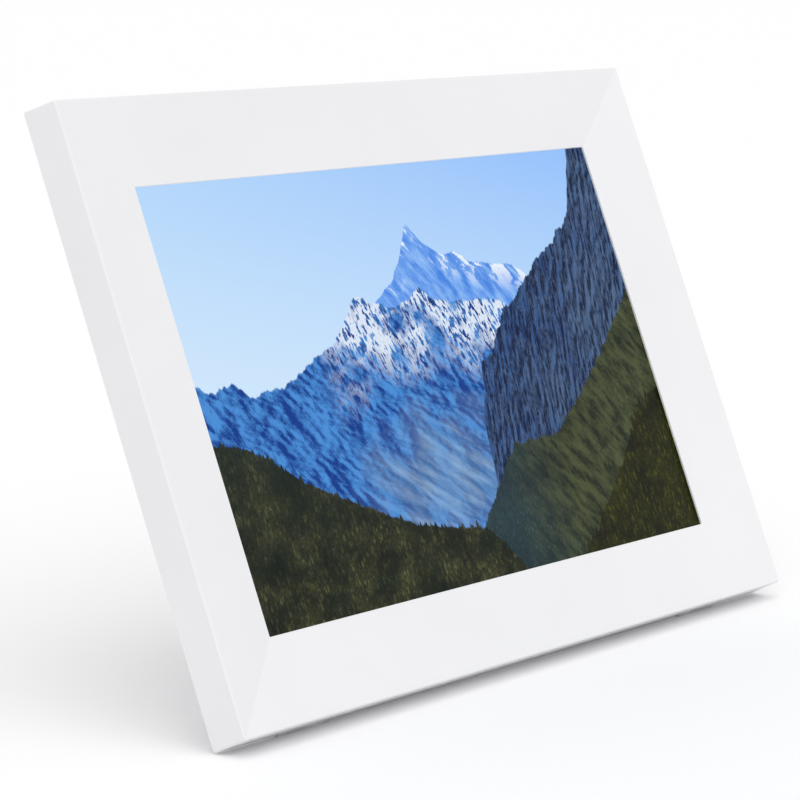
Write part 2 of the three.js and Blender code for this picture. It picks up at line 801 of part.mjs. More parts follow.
// A shallow speaker whose cone faces +y, towards the slots in the cover.
function speaker() {
  const body = slab(0, 0, 34, 26, -5.6, 0);
  const dish = turned([
    [0, -3.4], [3.6, -2.4], [4.2, -3.2], [10.6, -0.9], [11.4, -0.5], [11.4, 1], [0, 1],
  ], 20);
  return body.subtract(dish);
}

for (const [side, x] of [['left', -speakerX], ['right', speakerX]]) {
  place(`speaker_${side}`, speaker(), blackPlastic, [x, boxInnerFace - gap, speakerHeight]);
}

const speakerBack = boxInnerFace - gap - 5.6;
const leadEnd = partsOnBoard + 0.9;
const leftLead = [
  [-50, speakerBack - 1.2, 138], [-40, 16.2, 128], [-20, 15.2, 112],
  [4, 15.2, 96], [20, 15.6, 88], [33, leadEnd, 83],
];
const rightLead = [
  [60, speakerBack - 1.2, 138], [56, 16.6, 126], [46, 16.2, 114],
  [36.4, 16, 105], [35.1, 15.8, 97], [33.6, leadEnd, 87],
];
place('speaker_lead_left', wire(leftLead, 0.7, 14), leadRed);
place('speaker_lead_right', wire(rightLead, 0.7, 14), leadRed);

// ---------------------------------------------------------------- stand

const hinge = new THREE.Vector3(0, hingeDepth, hingeHeight);
const hingeAboveFloor = hinge.clone().applyAxisAngle(across, -lean).z - floorHeight;
const legTilt = legOpening - lean;
const legReach = hingeAboveFloor / Math.cos(legTilt);

const pin = axle([-pinLength / 2, pinLength / 2], 0, 0, pinRadius - 0.02);
place('stand_hinge_pin', pin, screwSteel, hinge.toArray());

const washer = axle([0, 1.2], 0, 0, barrelRadius - 0.2).subtract(axle([-1, 3], 0, 0, pinRadius + 0.15));
place('stand_hinge_washer', washer, steel, [20.6, hingeDepth, hingeHeight]);

// Leg axes: origin on the hinge pin, -z down the leg, +y away from the panel when folded.
const leg = new THREE.Group();
leg.position.copy(hinge);
leg.rotation.x = legOpening;
panel.add(leg);

function legOutline() {
  const halfTop = legTopWidth / 2;
  const halfFoot = legFootWidth / 2;
  const outline = new THREE.Shape();
  outline.moveTo(-halfTop, 0);
  outline.lineTo(-halfFoot, -legReach - 3);
  outline.lineTo(halfFoot, -legReach - 3);
  outline.lineTo(halfTop, 0);
  outline.closePath();
  return outline;
}

function standLeg() {
  const geometry = new THREE.ExtrudeGeometry(legOutline(), { depth: legThickness, bevelEnabled: false });
  geometry.rotateX(Math.PI / 2);
  geometry.translate(0, legThickness / 2, 0);
  const plate = solidOf(geometry);
  const barrel = axle([-legTopWidth / 2, legTopWidth / 2], 0, 0, barrelRadius, 24);
  const stopTail = block([-12, 12], [-0.4, 2.0], [0, 5.0]);
  const bore = axle([-legTopWidth, legTopWidth], 0, 0, pinRadius + 0.05, 20);

  const hollows = [-1, 1].map((side) => {
    const x = side > 0 ? [1.2, 16.5] : [-16.5, -1.2];
    return block(x, [-legThickness, 0.6], [-legReach + 14, -9]);
  });
  const fingerNotch = axle([-8, 8], legThickness / 2 + 3.2, -legReach + 7, 5, 24);

  const floorCut = new THREE.BoxGeometry(80, 40, 20);
  floorCut.translate(0, 0, -10 + padThickness + gap);
  floorCut.rotateX(-legTilt);
  floorCut.translate(0, 0, -legReach);
  return cut(plate.add(barrel).add(stopTail), [bore, ...hollows, fingerNotch, solidOf(floorCut)]);
}

place('stand_leg', standLeg(), backPlastic, [0, 0, 0], leg);

const footPad = loft([
  { width: 38, height: 5, radius: 1.2, y: 0, centreZ: 0 },
  { width: 38, height: 5, radius: 1.2, y: padThickness, centreZ: 0 },
], 3).rotate([90, 0, 0]);
const padMesh = place('stand_foot_pad', footPad, rubber, [0, 0, -legReach], leg);
padMesh.rotation.x = -legTilt;

// ---------------------------------------------------------------- stand it on z = 0, centred in plan

object.position.z = -floorHeight;
object.updateMatrixWorld(true);
const bounds = new THREE.Box3().setFromObject(object, true);
object.position.y = -(bounds.min.y + bounds.max.y) / 2;

export default object;
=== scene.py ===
"""Digital photo frame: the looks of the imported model.

Pieces are modelled in panel axes, in millimetres: x to the viewer's right, y from the front rim to
the back, z up the panel from the bottom edge of its rim. Each object's matrix leans the panel back
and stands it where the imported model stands.
"""
import math

import bmesh
import bpy
from mathutils import Matrix, Vector


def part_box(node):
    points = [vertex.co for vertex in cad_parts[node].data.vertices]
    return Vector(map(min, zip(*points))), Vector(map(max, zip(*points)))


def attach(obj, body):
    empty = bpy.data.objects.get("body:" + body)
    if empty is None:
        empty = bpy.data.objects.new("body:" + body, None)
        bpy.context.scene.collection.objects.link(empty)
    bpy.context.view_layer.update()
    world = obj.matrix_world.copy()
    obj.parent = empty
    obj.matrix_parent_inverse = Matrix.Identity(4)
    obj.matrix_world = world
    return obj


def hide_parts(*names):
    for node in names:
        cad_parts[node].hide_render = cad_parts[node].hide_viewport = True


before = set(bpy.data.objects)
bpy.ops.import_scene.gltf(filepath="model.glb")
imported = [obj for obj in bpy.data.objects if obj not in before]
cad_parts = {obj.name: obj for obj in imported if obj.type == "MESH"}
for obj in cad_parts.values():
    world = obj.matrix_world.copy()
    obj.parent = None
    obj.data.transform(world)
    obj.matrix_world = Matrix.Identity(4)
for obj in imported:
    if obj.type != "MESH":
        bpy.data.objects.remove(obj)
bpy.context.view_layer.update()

# -------------------- driving dimensions (mm, panel axes)

MM = 0.001
LEAN = math.radians(22.5)
LEG_OPENING = math.radians(35)

FRAME_WIDTH, FRAME_HEIGHT = 271.0, 190.0
MIDDLE = FRAME_HEIGHT / 2
BORDER = 26.5
LIP_DEPTH, LIP_THICKNESS = 5.0, 0.8
SIDE_DEPTH, SIDE_DRAFT = 12.8, 0.9
WALL = 2.2
EDGE_RADIUS = 0.6

GLASS_WIDTH, GLASS_HEIGHT = 227.9, 147.4
GLASS_FRONT, GLASS_THICKNESS = 6.4, 1.1
PICTURE_WIDTH, PICTURE_HEIGHT = 221.0, 139.6

FLANGE_FRONT = 11.0
BOX_BACK = 26.0
BOX_WIDTH, BOX_HEIGHT, BOX_CORNER, BOX_DRAFT = 242.0, 174.0, 10.0, 2.8
FLANGE_WIDTH, FLANGE_HEIGHT = 267.0, 186.0
BOX_INNER = BOX_BACK - WALL

HINGE_DEPTH, HINGE_HEIGHT = 22.9, 122.0
RECESS_HALF_WIDTH, RECESS_TOP, RECESS_FLOOR, RECESS_WALL = 22.5, 128.0, 19.4, 2.0
LEG_THICKNESS, LEG_TOP_WIDTH, LEG_FOOT_WIDTH = 5.0, 40.0, 43.0
BARREL_RADIUS, PIN_RADIUS = 3.0, 1.5
PAD_THICKNESS = 1.8
GAP = 0.3
FLOOR_CLEARANCE = 0.2

SOCKET_FACE = 118.4
BOARD_BACK = 14.7

BUTTON_X, FIRST_BUTTON, BUTTON_PITCH = 96.0, 114.0, 12.0
BUTTON_NAMES = ["down", "up", "play", "menu", "power"]
SPEAKER_X, SPEAKER_HEIGHT = 66.0, 145.0
KEYHOLE_X, KEYHOLE_HEIGHT = 38.0, 146.0
COVER_SCREW_X, COVER_SCREW_OFFSET = 127.5, 75.0
BRACKET_SCREW_X, BRACKET_SCREW_OFFSET = 70.0, 80.0
VENT_X, VENT_HEIGHT = 64.0, 78.0
KEYHOLE_ENTRY, KEYHOLE_NECK, KEYHOLE_RISE = 4.25, 2.2, 10.0
PAD_WIDTH, PAD_LENGTH = 38.0, 5.0
FOOT_X, FOOT_WIDTH, FOOT_HEIGHT, FOOT_SOLE, FOOT_TOP = 100.0, 22.0, 1.2, 1.0, 2.65

# The panel's place: its rear bottom edge is the lowest line of front_frame, its rear top edge the
# rearmost.
frame_low, frame_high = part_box("front_frame")
panel_y = frame_high.y - MM * (SIDE_DEPTH * math.cos(LEAN) + (FRAME_HEIGHT + SIDE_DRAFT) * math.sin(LEAN))
panel_z = frame_low.z + MM * (SIDE_DEPTH * math.sin(LEAN) + SIDE_DRAFT * math.cos(LEAN))
PANEL = Matrix.Translation((0, panel_y, panel_z)) @ Matrix.Rotation(-LEAN, 4, "X")
HINGE = Matrix.Translation((0, MM * HINGE_DEPTH, MM * HINGE_HEIGHT))
LEG = PANEL @ HINGE @ Matrix.Rotation(LEG_OPENING, 4, "X")
LEG_REACH = (PANEL @ HINGE).translation.z / MM / math.cos(LEG_OPENING - LEAN)


def placed(name, data, matrix=Matrix.Identity(4)):
    """A new object in the scene."""
    made = bpy.data.objects.new(name, data)
    made.matrix_world = matrix
    bpy.context.collection.objects.link(made)
    return made


def as_mesh(name, bm):
    """A bmesh as mesh data; the bmesh is freed."""
    mesh = bpy.data.meshes.new(name)
    bm.to_mesh(mesh)
    bm.free()
    return mesh

# -------------------- camera


def add_camera():
    """The photograph's viewing angle: from the viewer's left and a little above, with a long lens."""
    azimuth, elevation, distance = math.radians(-49.76), math.radians(8.9), 0.9415
    target = Vector((-0.0126, 0.0, 0.0826))
    away = Vector((math.sin(azimuth) * math.cos(elevation), -math.cos(azimuth) * math.cos(elevation),
                   math.sin(elevation)))
    data = bpy.data.cameras.new("camera")
    data.lens = 134.06
    data.sensor_width = 36.0
    data.clip_start = 0.01
    camera = placed("camera", data)
    camera.location = target + distance * away
    camera.rotation_euler = (-away).to_track_quat("-Z", "Y").to_euler()
    bpy.context.scene.camera = camera


add_camera()

# -------------------- node materials


class Nodes:
    """A material's node tree, with one short call for each kind of node used here."""

    def __init__(self, name):
        self.material = bpy.data.materials.new(name)
        self.material.use_nodes = True
        self.tree = self.material.node_tree
        self.tree.nodes.clear()
        output = self.tree.nodes.new("ShaderNodeOutputMaterial")
        self.shader = self.tree.nodes.new("ShaderNodeBsdfPrincipled")
        self.tree.links.new(self.shader.outputs["BSDF"], output.inputs["Surface"])

    def put(self, socket, value):
        """Link a node output to a socket, or set the socket's own value."""
        if isinstance(value, bpy.types.NodeSocket):
            self.tree.links.new(value, socket)
        else:
            socket.default_value = value

    def node(self, kind, **settings):
        made = self.tree.nodes.new(kind)
        for key, value in settings.items():
            setattr(made, key, value)
        return made

    def set(self, **values):
        """Shader inputs by name, with spaces as underscores."""
        for key, value in values.items():
            self.put(self.shader.inputs[key.replace("_", " ")], value)

    def place(self):
        """Where a point is in the object's own axes."""
        return self.node("ShaderNodeTexCoord").outputs["Object"]

    def math(self, operation, *values, clamp=False):
        made = self.node("ShaderNodeMath", operation=operation, use_clamp=clamp)
        for socket, value in zip(made.inputs, values):
            self.put(socket, value)
        return made.outputs[0]

    def add(self, a, b):
        return self.math("ADD", a, b)

    def sub(self, a, b):
        return self.math("SUBTRACT", a, b)

    def mul(self, a, b):
        return self.math("MULTIPLY", a, b)

    def step(self, value, low, high):
        """A smooth step from 0 at low to 1 at high."""
        return self.ramp(value, low, high, kind="SMOOTHSTEP")

    def ramp(self, value, low, high, to_low=0.0, to_high=1.0, kind="LINEAR"):
        """A clamped map from low..high to to_low..to_high, straight unless another kind is given."""
        made = self.node("ShaderNodeMapRange", interpolation_type=kind)
        for socket, item in zip(made.inputs, (value, low, high, to_low, to_high)):
            self.put(socket, item)
        return made.outputs[0]

    def mix(self, share, a, b):
        """Colour a where share is 0, colour b where it is 1."""
        made = self.node("ShaderNodeMix", data_type="RGBA")
        self.put(made.inputs["Factor"], share)
        for name, value in (("A", a), ("B", b)):
            socket = [s for s in made.inputs if s.name == name and s.type == "RGBA"][0]
            self.put(socket, value)
        return [s for s in made.outputs if s.type == "RGBA"][0]

    def vector(self, x, y, z=0.0):
        made = self.node("ShaderNodeCombineXYZ")
        for socket, value in zip(made.inputs, (x, y, z)):
            self.put(socket, value)
        return made.outputs[0]

    def noise(self, where, scale, detail=4.0, roughness=0.55):
        made = self.node("ShaderNodeTexNoise")
        self.put(made.inputs["Vector"], where)
        for name, value in (("Scale", scale), ("Detail", detail), ("Roughness", roughness)):
            made.inputs[name].default_value = value
        return made.outputs["Fac"]

    def cells(self, where, scale, feature="F1"):
        made = self.node("ShaderNodeTexVoronoi", feature=feature)
        self.put(made.inputs["Vector"], where)
        made.inputs["Scale"].default_value = scale
        return made.outputs

    def bump(self, height, distance):
        made = self.node("ShaderNodeBump")
        self.put(made.inputs["Height"], height)
        made.inputs["Distance"].default_value = distance
        self.put(self.shader.inputs["Normal"], made.outputs[0])


def srgb(red, green, blue):
    """A screen colour in 0..255 as a linear colour."""
    def linear(value):
        share = value / 255
        return share / 12.92 if share <= 0.04045 else ((share + 0.055) / 1.055) ** 2.4
    return (linear(red), linear(green), linear(blue), 1.0)


def moulded_plastic(name, colour, roughness, grain_size, grain_depth, specular=0.5):
    """Moulded plastic: a fine surface grain, and slow drifts in its tint and its polish."""
    m = Nodes(name)
    where = m.place()
    drift = m.noise(where, 14, detail=3)
    grain = m.noise(where, 1 / grain_size, detail=3, roughness=0.6)
    dull = tuple(0.965 * c for c in colour[:3]) + (1.0,)
    m.set(Base_Color=m.mix(m.ramp(drift, 0.3, 0.7), dull, colour),
          Roughness=m.add(m.ramp(grain, 0.3, 0.7, -0.03, 0.03),
                          m.ramp(drift, 0.3, 0.7, roughness - 0.02, roughness + 0.03)),
          Specular_IOR_Level=specular)
    m.bump(grain, grain_depth)
    return m.material


def metal(name, colour, roughness, brush):
    """Stamped or turned metal: streaks along one axis, and darker patches where it has dulled."""
    m = Nodes(name)
    where = m.place()
    stretch = m.node("ShaderNodeMapping")
    m.put(stretch.inputs["Vector"], where)
    stretch.inputs["Scale"].default_value = brush
    streaks = m.noise(stretch.outputs[0], 900, detail=2)
    patches = m.noise(where, 60, detail=3)
    dull = tuple(0.8 * c for c in colour[:3]) + (1.0,)
    m.set(Base_Color=m.mix(m.ramp(patches, 0.35, 0.65), dull, colour), Metallic=1.0,
          Roughness=m.ramp(streaks, 0.3, 0.7, roughness - 0.08, roughness + 0.1))
    m.bump(streaks, 0.00002)
    return m.material


def rubber(name, colour):
    m = Nodes(name)
    where = m.place()
    grain = m.noise(where, 2500, detail=2)
    dust = m.noise(where, 120, detail=4)
    dusty = tuple(min(1.0, 1.9 * c) for c in colour[:3]) + (1.0,)
    m.set(Base_Color=m.mix(m.ramp(dust, 0.5, 0.8), colour, dusty),
          Roughness=m.ramp(grain, 0.3, 0.7, 0.72, 0.92))
    m.bump(grain, 0.00006)
    return m.material


def board_laminate(name):
    """Lacquered circuit board: copper tracks show as lighter lines under the green lacquer."""
    m = Nodes(name)
    where = m.place()
    tracks = m.cells(where, 260, feature="DISTANCE_TO_EDGE")["Distance"]
    weave = m.noise(where, 1800, detail=2)
    on_track = m.step(tracks, 0.06, 0.03)
    m.set(Base_Color=m.mix(on_track, srgb(14, 74, 46), srgb(44, 128, 74)),
          Roughness=m.ramp(weave, 0.3, 0.7, 0.28, 0.42), Coat_Weight=0.4)
    m.bump(on_track, 0.00003)
    return m.material


white_front = moulded_plastic("white_front", srgb(234, 234, 236), 0.40, 0.0006, 0.000006)
white_back = moulded_plastic("white_back", srgb(229, 229, 231), 0.52, 0.0004, 0.00003)
button_grey = moulded_plastic("button_grey", srgb(204, 205, 210), 0.42, 0.0005, 0.000008)
black_plastic = moulded_plastic("black_plastic", srgb(34, 35, 38), 0.5, 0.0004, 0.00002)
chassis_plastic = moulded_plastic("chassis_white", srgb(242, 242, 238), 0.55, 0.0006, 0.00001)
optical_film = moulded_plastic("optical_film", srgb(248, 249, 250), 0.35, 0.0010, 0.000003)
clear_acrylic = moulded_plastic("light_guide", srgb(225, 236, 238), 0.12, 0.0012, 0.000003)
cable_film = moulded_plastic("cable_film", srgb(196, 132, 62), 0.38, 0.0009, 0.00001)
lead_red = moulded_plastic("lead_red", srgb(170, 34, 34), 0.45, 0.0005, 0.00001)
foam = moulded_plastic("foam", srgb(32, 32, 34), 0.95, 0.0003, 0.0002, specular=0.2)
sheet_steel = metal("sheet_steel", srgb(196, 199, 204), 0.34, (1.0, 1.0, 0.04))
screw_steel = metal("screw_steel", srgb(168, 170, 176), 0.30, (1.0, 0.05, 1.0))
aluminium = metal("aluminium", srgb(214, 217, 221), 0.28, (1.0, 1.0, 0.1))
gold = metal("gold", srgb(226, 178, 88), 0.25, (1.0, 0.2, 1.0))
pale_rubber = rubber("pale_rubber", srgb(206, 206, 209))
laminate = board_laminate("board_laminate")

# -------------------- mesh tools


def new_object(name, loops, matrix, *materials, ring=False):
    """Skins loops of equal length, in millimetres, into an object in metres. A ring's last loop meets
    its first; otherwise both ends are capped."""
    bm = bmesh.new()
    rows = [[bm.verts.new(point) for point in points] for points in loops]
    count = len(rows[0])
    pairs = list(zip(rows, rows[1:]))
    if ring:
        pairs.append((rows[-1], rows[0]))
    for near, far in pairs:
        for i in range(count):
            j = (i + 1) % count
            bm.faces.new((near[i], near[j], far[j], far[i]))
    if not ring:
        bm.faces.new(list(reversed(rows[0])))
        bm.faces.new(rows[-1])
    bmesh.ops.scale(bm, vec=(MM, MM, MM), verts=bm.verts)
    bmesh.ops.remove_doubles(bm, verts=bm.verts, dist=1e-7)
    bmesh.ops.recalc_face_normals(bm, faces=bm.faces)
    mesh = as_mesh(name, bm)
    for material in materials:
        mesh.materials.append(material)
    return placed(name, mesh, matrix)


def gathered(pieces, matrix):
    """One object made of all the pieces, which are removed."""
    bm = bmesh.new()
    for piece in pieces:
        if piece.matrix_world != matrix:
            piece.data.transform(matrix.inverted() @ piece.matrix_world)
        bm.from_mesh(piece.data)
        bpy.data.objects.remove(piece)
    return placed("gathered", as_mesh("gathered", bm), matrix)


def boolean(made, tools, operation):
    """Cuts or joins with tools that don't touch each other, and removes them. The cut is made in the
    piece's own axes, because the lean's rounding makes the exact solver fail on large faces."""
    place = made.matrix_world.copy()
    tool = gathered(tools, place)
    tool.matrix_world = Matrix.Identity(4)
    made.matrix_world = Matrix.Identity(4)
    modifier = made.modifiers.new("boolean", "BOOLEAN")
    modifier.operation = operation
    modifier.solver = "EXACT"
    modifier.object = tool
    bpy.context.view_layer.update()
    graph = bpy.context.evaluated_depsgraph_get()
    mesh = bpy.data.meshes.new_from_object(made.evaluated_get(graph))
    made.modifiers.clear()
    made.data = mesh
    made.matrix_world = place
    bpy.data.objects.remove(tool)


def joined(name, pieces, matrix):
    """Several pieces with their own materials as one object."""
    materials = [piece.data.materials[0] for piece in pieces]
    slots = list(dict.fromkeys(materials))
    bm = bmesh.new()
    for piece, material in zip(pieces, materials):
        start = len(bm.faces)
        piece.data.transform(matrix.inverted() @ piece.matrix_world)
        bm.from_mesh(piece.data)
        bm.faces.ensure_lookup_table()
        for face in bm.faces[start:]:
            face.material_index = slots.index(material)
        bpy.data.objects.remove(piece)
    mesh = as_mesh(name, bm)
    for material in slots:
        mesh.materials.append(material)
    return placed(name, mesh, matrix)


def finish_piece(made, body, slot_name, *replaced, sharp_angle=35.0):
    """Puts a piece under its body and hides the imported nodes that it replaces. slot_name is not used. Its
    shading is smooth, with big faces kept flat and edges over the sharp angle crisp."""
    made.data.shade_smooth()
    made.data.set_sharp_from_angle(angle=math.radians(sharp_angle))
    weighted = made.modifiers.new("weighted_normals", "WEIGHTED_NORMAL")
    weighted.keep_sharp = True
    weighted.weight = 80
    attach(made, body)
    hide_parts(*replaced)


def rounded_rectangle(width, height, radius, centre=(0.0, 0.0), steps=6):
    """Outline points, anticlockwise, as (x, z)."""
    points = []
    for quarter, (side_x, side_z) in enumerate([(1, 1), (-1, 1), (-1, -1), (1, -1)]):
        corner_x = centre[0] + side_x * (width / 2 - radius)
        corner_z = centre[1] + side_z * (height / 2 - radius)
        for step in range(steps + 1):
            angle = (quarter + step / steps) * math.pi / 2
            points.append((corner_x + radius * math.cos(angle), corner_z + radius * math.sin(angle)))
    return points


def circle(radius, centre=(0.0, 0.0), steps=32):
    return [(centre[0] + radius * math.cos(2 * math.pi * i / steps),
             centre[1] + radius * math.sin(2 * math.pi * i / steps)) for i in range(steps)]


def quarter_turn(steps):
    """Angles from 0 to a right angle in equal steps."""
    return [step / steps * math.pi / 2 for step in range(steps + 1)]


def at_depth(outline, y):
    """An (x, z) outline set at one depth of the panel."""
    return [(x, y, z) for x, z in outline]


def soften(corners, steps=6):
    """A closed polygon of (a, b, radius) corners, with each corner rounded to its radius."""
    path = []
    for i, (a, b, radius) in enumerate(corners):
        here = Vector((a, b))
        before = (Vector(corners[i - 1][:2]) - here).normalized()
        after = (Vector(corners[(i + 1) % len(corners)][:2]) - here).normalized()
        if radius == 0:
            path.append(tuple(here))
            continue
        half = before.angle(after) / 2
        centre = here + (before + after).normalized() * (radius / math.sin(half))
        start = here + before * (radius / math.tan(half)) - centre
        end = here + after * (radius / math.tan(half)) - centre
        sweep = math.atan2(start.cross(end), start.dot(end))
        for step in range(steps + 1):
            turn = Matrix.Rotation(sweep * step / steps, 2)
            path.append(tuple(centre + turn @ start))
    return path


def flared_cutter(name, outline, bottom, face, lip):
    """A cutter from bottom to face whose mouth opens by lip on a quarter round. outline(o) gives the
    outline grown by o."""
    loops = [at_depth(outline(0), bottom)]
    for angle in quarter_turn(4):
        loops.append(at_depth(outline(lip * (1 - math.cos(angle))), face - lip + lip * math.sin(angle)))
    loops.append(at_depth(outline(lip), face + 2))
    return new_object(name, loops, PANEL)


def block_cutter(name, x, y, z, matrix):
    """A box between two positions on each axis."""
    (left, right), (low, high) = x, z
    loops = [at_depth([(left, low), (right, low), (right, high), (left, high)], depth) for depth in y]
    return new_object(name, loops, matrix)


def post_tool(name, x, z, radius, front, back):
    """A round post between two depths of the panel."""
    outline = circle(radius, (x, z), 28)
    return new_object(name, [at_depth(outline, front), at_depth(outline, back)], PANEL)


def run(name, outline, x, matrix, *material):
    """A (y, z) outline run between two x positions."""
    loops = [[(x0, y, z) for y, z in outline] for x0 in x]
    return new_object(name, loops, matrix, *material)


def bar_tool(name, x, y, z, radius, matrix, steps=32):
    """A round bar along x."""
    return run(name, circle(radius, (y, z), steps), x, matrix)


def corners(x, offset):
    """Four (x, z) places, the given distances from the middle of the panel."""
    return [(side_x * x, MIDDLE + side_z * offset) for side_z in (-1, 1) for side_x in (-1, 1)]

# -------------------- front frame


def front_frame():
    facet = LIP_DEPTH / (BORDER - EDGE_RADIUS)
    side = SIDE_DRAFT / (SIDE_DEPTH - EDGE_RADIUS)
    # Where the facet and the side would meet if their edge weren't rounded.
    sharp_depth = -EDGE_RADIUS * facet * (1 - side) / (1 + facet * side)
    sharp_inset = side * (EDGE_RADIUS - sharp_depth)
    profile = soften([
        (-SIDE_DRAFT, SIDE_DEPTH, 0.35),
        (sharp_inset, sharp_depth, 0.9 * EDGE_RADIUS),
        (BORDER, LIP_DEPTH, 0.4),
        (BORDER, LIP_DEPTH + LIP_THICKNESS, 0.1),
        (20.45, LIP_DEPTH + LIP_THICKNESS, 0.1),
        (20.45, 10.0, 0.2),
        (18.45, 10.0, 0.2),
        (18.45, facet * (18.45 - EDGE_RADIUS) + WALL, 0.3),
        (2.4, 2.95, 0.5),
        (1.5, SIDE_DEPTH, 0.2),
    ])
    loops = []
    for inset, depth in profile:
        radius = max(0.3, 0.9 - max(0.0, inset))
        width, height = FRAME_WIDTH - 2 * inset, FRAME_HEIGHT - 2 * inset
        outline = rounded_rectangle(width, height, radius, (0, MIDDLE), steps=4)
        loops.append(at_depth(outline, depth))
    made = new_object("bezel_moulding", loops, PANEL, white_front, ring=True)

    bracket_screws = corners(BRACKET_SCREW_X, BRACKET_SCREW_OFFSET)
    cover_screws = corners(COVER_SCREW_X, COVER_SCREW_OFFSET)
    posts = [post_tool("post", x, z, 3.2, 4.4, 10.5) for x, z in bracket_screws]
    posts += [post_tool("post", x, z, 3.4, 3.0, 10.7) for x, z in cover_screws]
    boolean(made, posts, "UNION")
    cuts = [post_tool("cut", x, z, 1.3, 5.5, 12) for x, z in bracket_screws]
    cuts += [post_tool("cut", x, z, 1.5, 4.7, 12) for x, z in cover_screws]
    cuts += [foot_notch(x) for x in (-FOOT_X, FOOT_X)]
    boolean(made, cuts, "DIFFERENCE")
    finish_piece(made, "frame", "white_front", "front_frame")


def rest_edge():
    """Turns level axes, at the rear bottom edge, into the world."""
    return Matrix.Translation(PANEL @ Vector((0, MM * SIDE_DEPTH, -MM * SIDE_DRAFT)))


def foot_notch(x):
    half = FOOT_WIDTH / 2 + GAP
    return block_cutter("notch", (x - half, x + half), (-6, 4), (-2, FOOT_HEIGHT + GAP), rest_edge())


def foot(name, x):
    """A slim silicone strip. Its sole is level and its face slopes up to meet the underside."""
    sole_back, top_back = 0.1, 0.35
    section = soften([(sole_back - FOOT_SOLE, -FLOOR_CLEARANCE, 0.12), (sole_back, -FLOOR_CLEARANCE, 0.1),
                      (top_back, FOOT_HEIGHT, 0.12), (top_back - FOOT_TOP, FOOT_HEIGHT, 0.1)], steps=3)
    middle = Vector((-0.9, 0.4))
    loops = []
    for along, shrink in ((0, 0.15), (0.1, 0.04), (0.3, 0), (FOOT_WIDTH - 0.3, 0), (FOOT_WIDTH - 0.1, 0.04),
                          (FOOT_WIDTH, 0.15)):
        points = [Vector(point).lerp(middle, shrink) for point in section]
        loops.append([(x - FOOT_WIDTH / 2 + along, point.x, point.y) for point in points])
    made = new_object(name + "_strip", loops, rest_edge(), pale_rubber)
    finish_piece(made, "frame", "rubber", name)


front_frame()
foot("foot_left", -FOOT_X)
foot("foot_right", FOOT_X)

# -------------------- screen picture


def skyline(m, u, points, jag, scale, seed):
    """Height of a ridge across the picture: a line through (across, up) points, roughened by jag."""
    curve = m.node("ShaderNodeFloatCurve")
    m.put(curve.inputs["Value"], u)
    curve.mapping.use_clip = False
    line = curve.mapping.curves[0]
    line.points[0].location = points[0]
    line.points[1].location = points[-1]
    for point in points[1:-1]:
        line.points.new(*point)
    for point in line.points:
        point.handle_type = "VECTOR"
    curve.mapping.update()
    rough = m.noise(m.vector(u, seed), scale, detail=8.0, roughness=0.62)
    return m.add(curve.outputs["Value"], m.ramp(rough, 0.25, 0.75, -jag, jag))


def stretched(m, where, scale, turn=0.0):
    """Picture coordinates scaled along each axis after a turn, given in degrees."""
    made = m.node("ShaderNodeMapping", vector_type="TEXTURE")
    m.put(made.inputs["Vector"], where)
    made.inputs["Rotation"].default_value = (0.0, 0.0, math.radians(turn))
    made.inputs["Scale"].default_value = (1 / scale[0], 1 / scale[1], 1.0)
    return made.outputs[0]


def ridged(m, where, scale, detail=9.0, roughness=0.62):
    """Creased ground, 0 to 1, with sharp crests."""
    fold = m.math("ABSOLUTE", m.sub(m.noise(where, scale, detail=detail, roughness=roughness), 0.5))
    return m.ramp(fold, 0.0, 0.16, 1.0, 0.0)


def relief(m, where, scale, light, gain=9.0, detail=9.0):
    """Ground shading, 0 to 1: each point's height against the height a step towards the light."""
    moved = m.node("ShaderNodeVectorMath", operation="ADD")
    m.put(moved.inputs[0], where)
    moved.inputs[1].default_value = (light[0], light[1], 0.0)
    here = ridged(m, where, scale, detail)
    there = ridged(m, moved.outputs[0], scale, detail)
    return m.math("ADD", m.mul(m.sub(here, there), gain * 0.1), 0.5, clamp=True)


def conifers(m, where, density):
    """Forest, 0 to 1: narrow upright crowns, each lit on one side and dark at its foot."""
    crowns = m.cells(stretched(m, where, (density, 0.38 * density)), 1.0)
    tone = m.node("ShaderNodeSeparateColor")
    m.put(tone.inputs[0], crowns["Color"])
    body = m.step(crowns["Distance"], 0.62, 0.12)
    needles = m.noise(stretched(m, where, (2.4 * density, density)), 1.0, detail=3.0)
    clumps = m.noise(where, 11.0, detail=5.0)
    lit = m.mul(m.mul(body, m.ramp(tone.outputs[0], 0.1, 1.0, 0.15, 1.0)), m.ramp(needles, 0.32, 0.66))
    glow = m.ramp(clumps, 0.34, 0.66, 0.05, 0.36)
    return m.add(m.mul(lit, m.ramp(clumps, 0.34, 0.66, 0.4, 0.75)), m.mul(glow, m.ramp(needles, 0.25, 0.75)))


def treetops(m, u, density, height):
    """Pointed tree tops of differing heights along a skyline."""
    total = None
    for scale, share in ((density, 1.0), (1.9 * density, 0.7)):
        crowns = m.cells(m.vector(m.mul(u, scale), 0.5), 1.0)
        tone = m.node("ShaderNodeSeparateColor")
        m.put(tone.inputs[0], crowns["Color"])
        rise = m.mul(m.ramp(crowns["Distance"], 0.0, 0.42, 1.0, 0.0),
                     m.ramp(tone.outputs[1], 0, 1, 0.25, 1.0))
        rise = m.mul(rise, height * share)
        total = rise if total is None else m.math("MAXIMUM", total, rise)
    return total


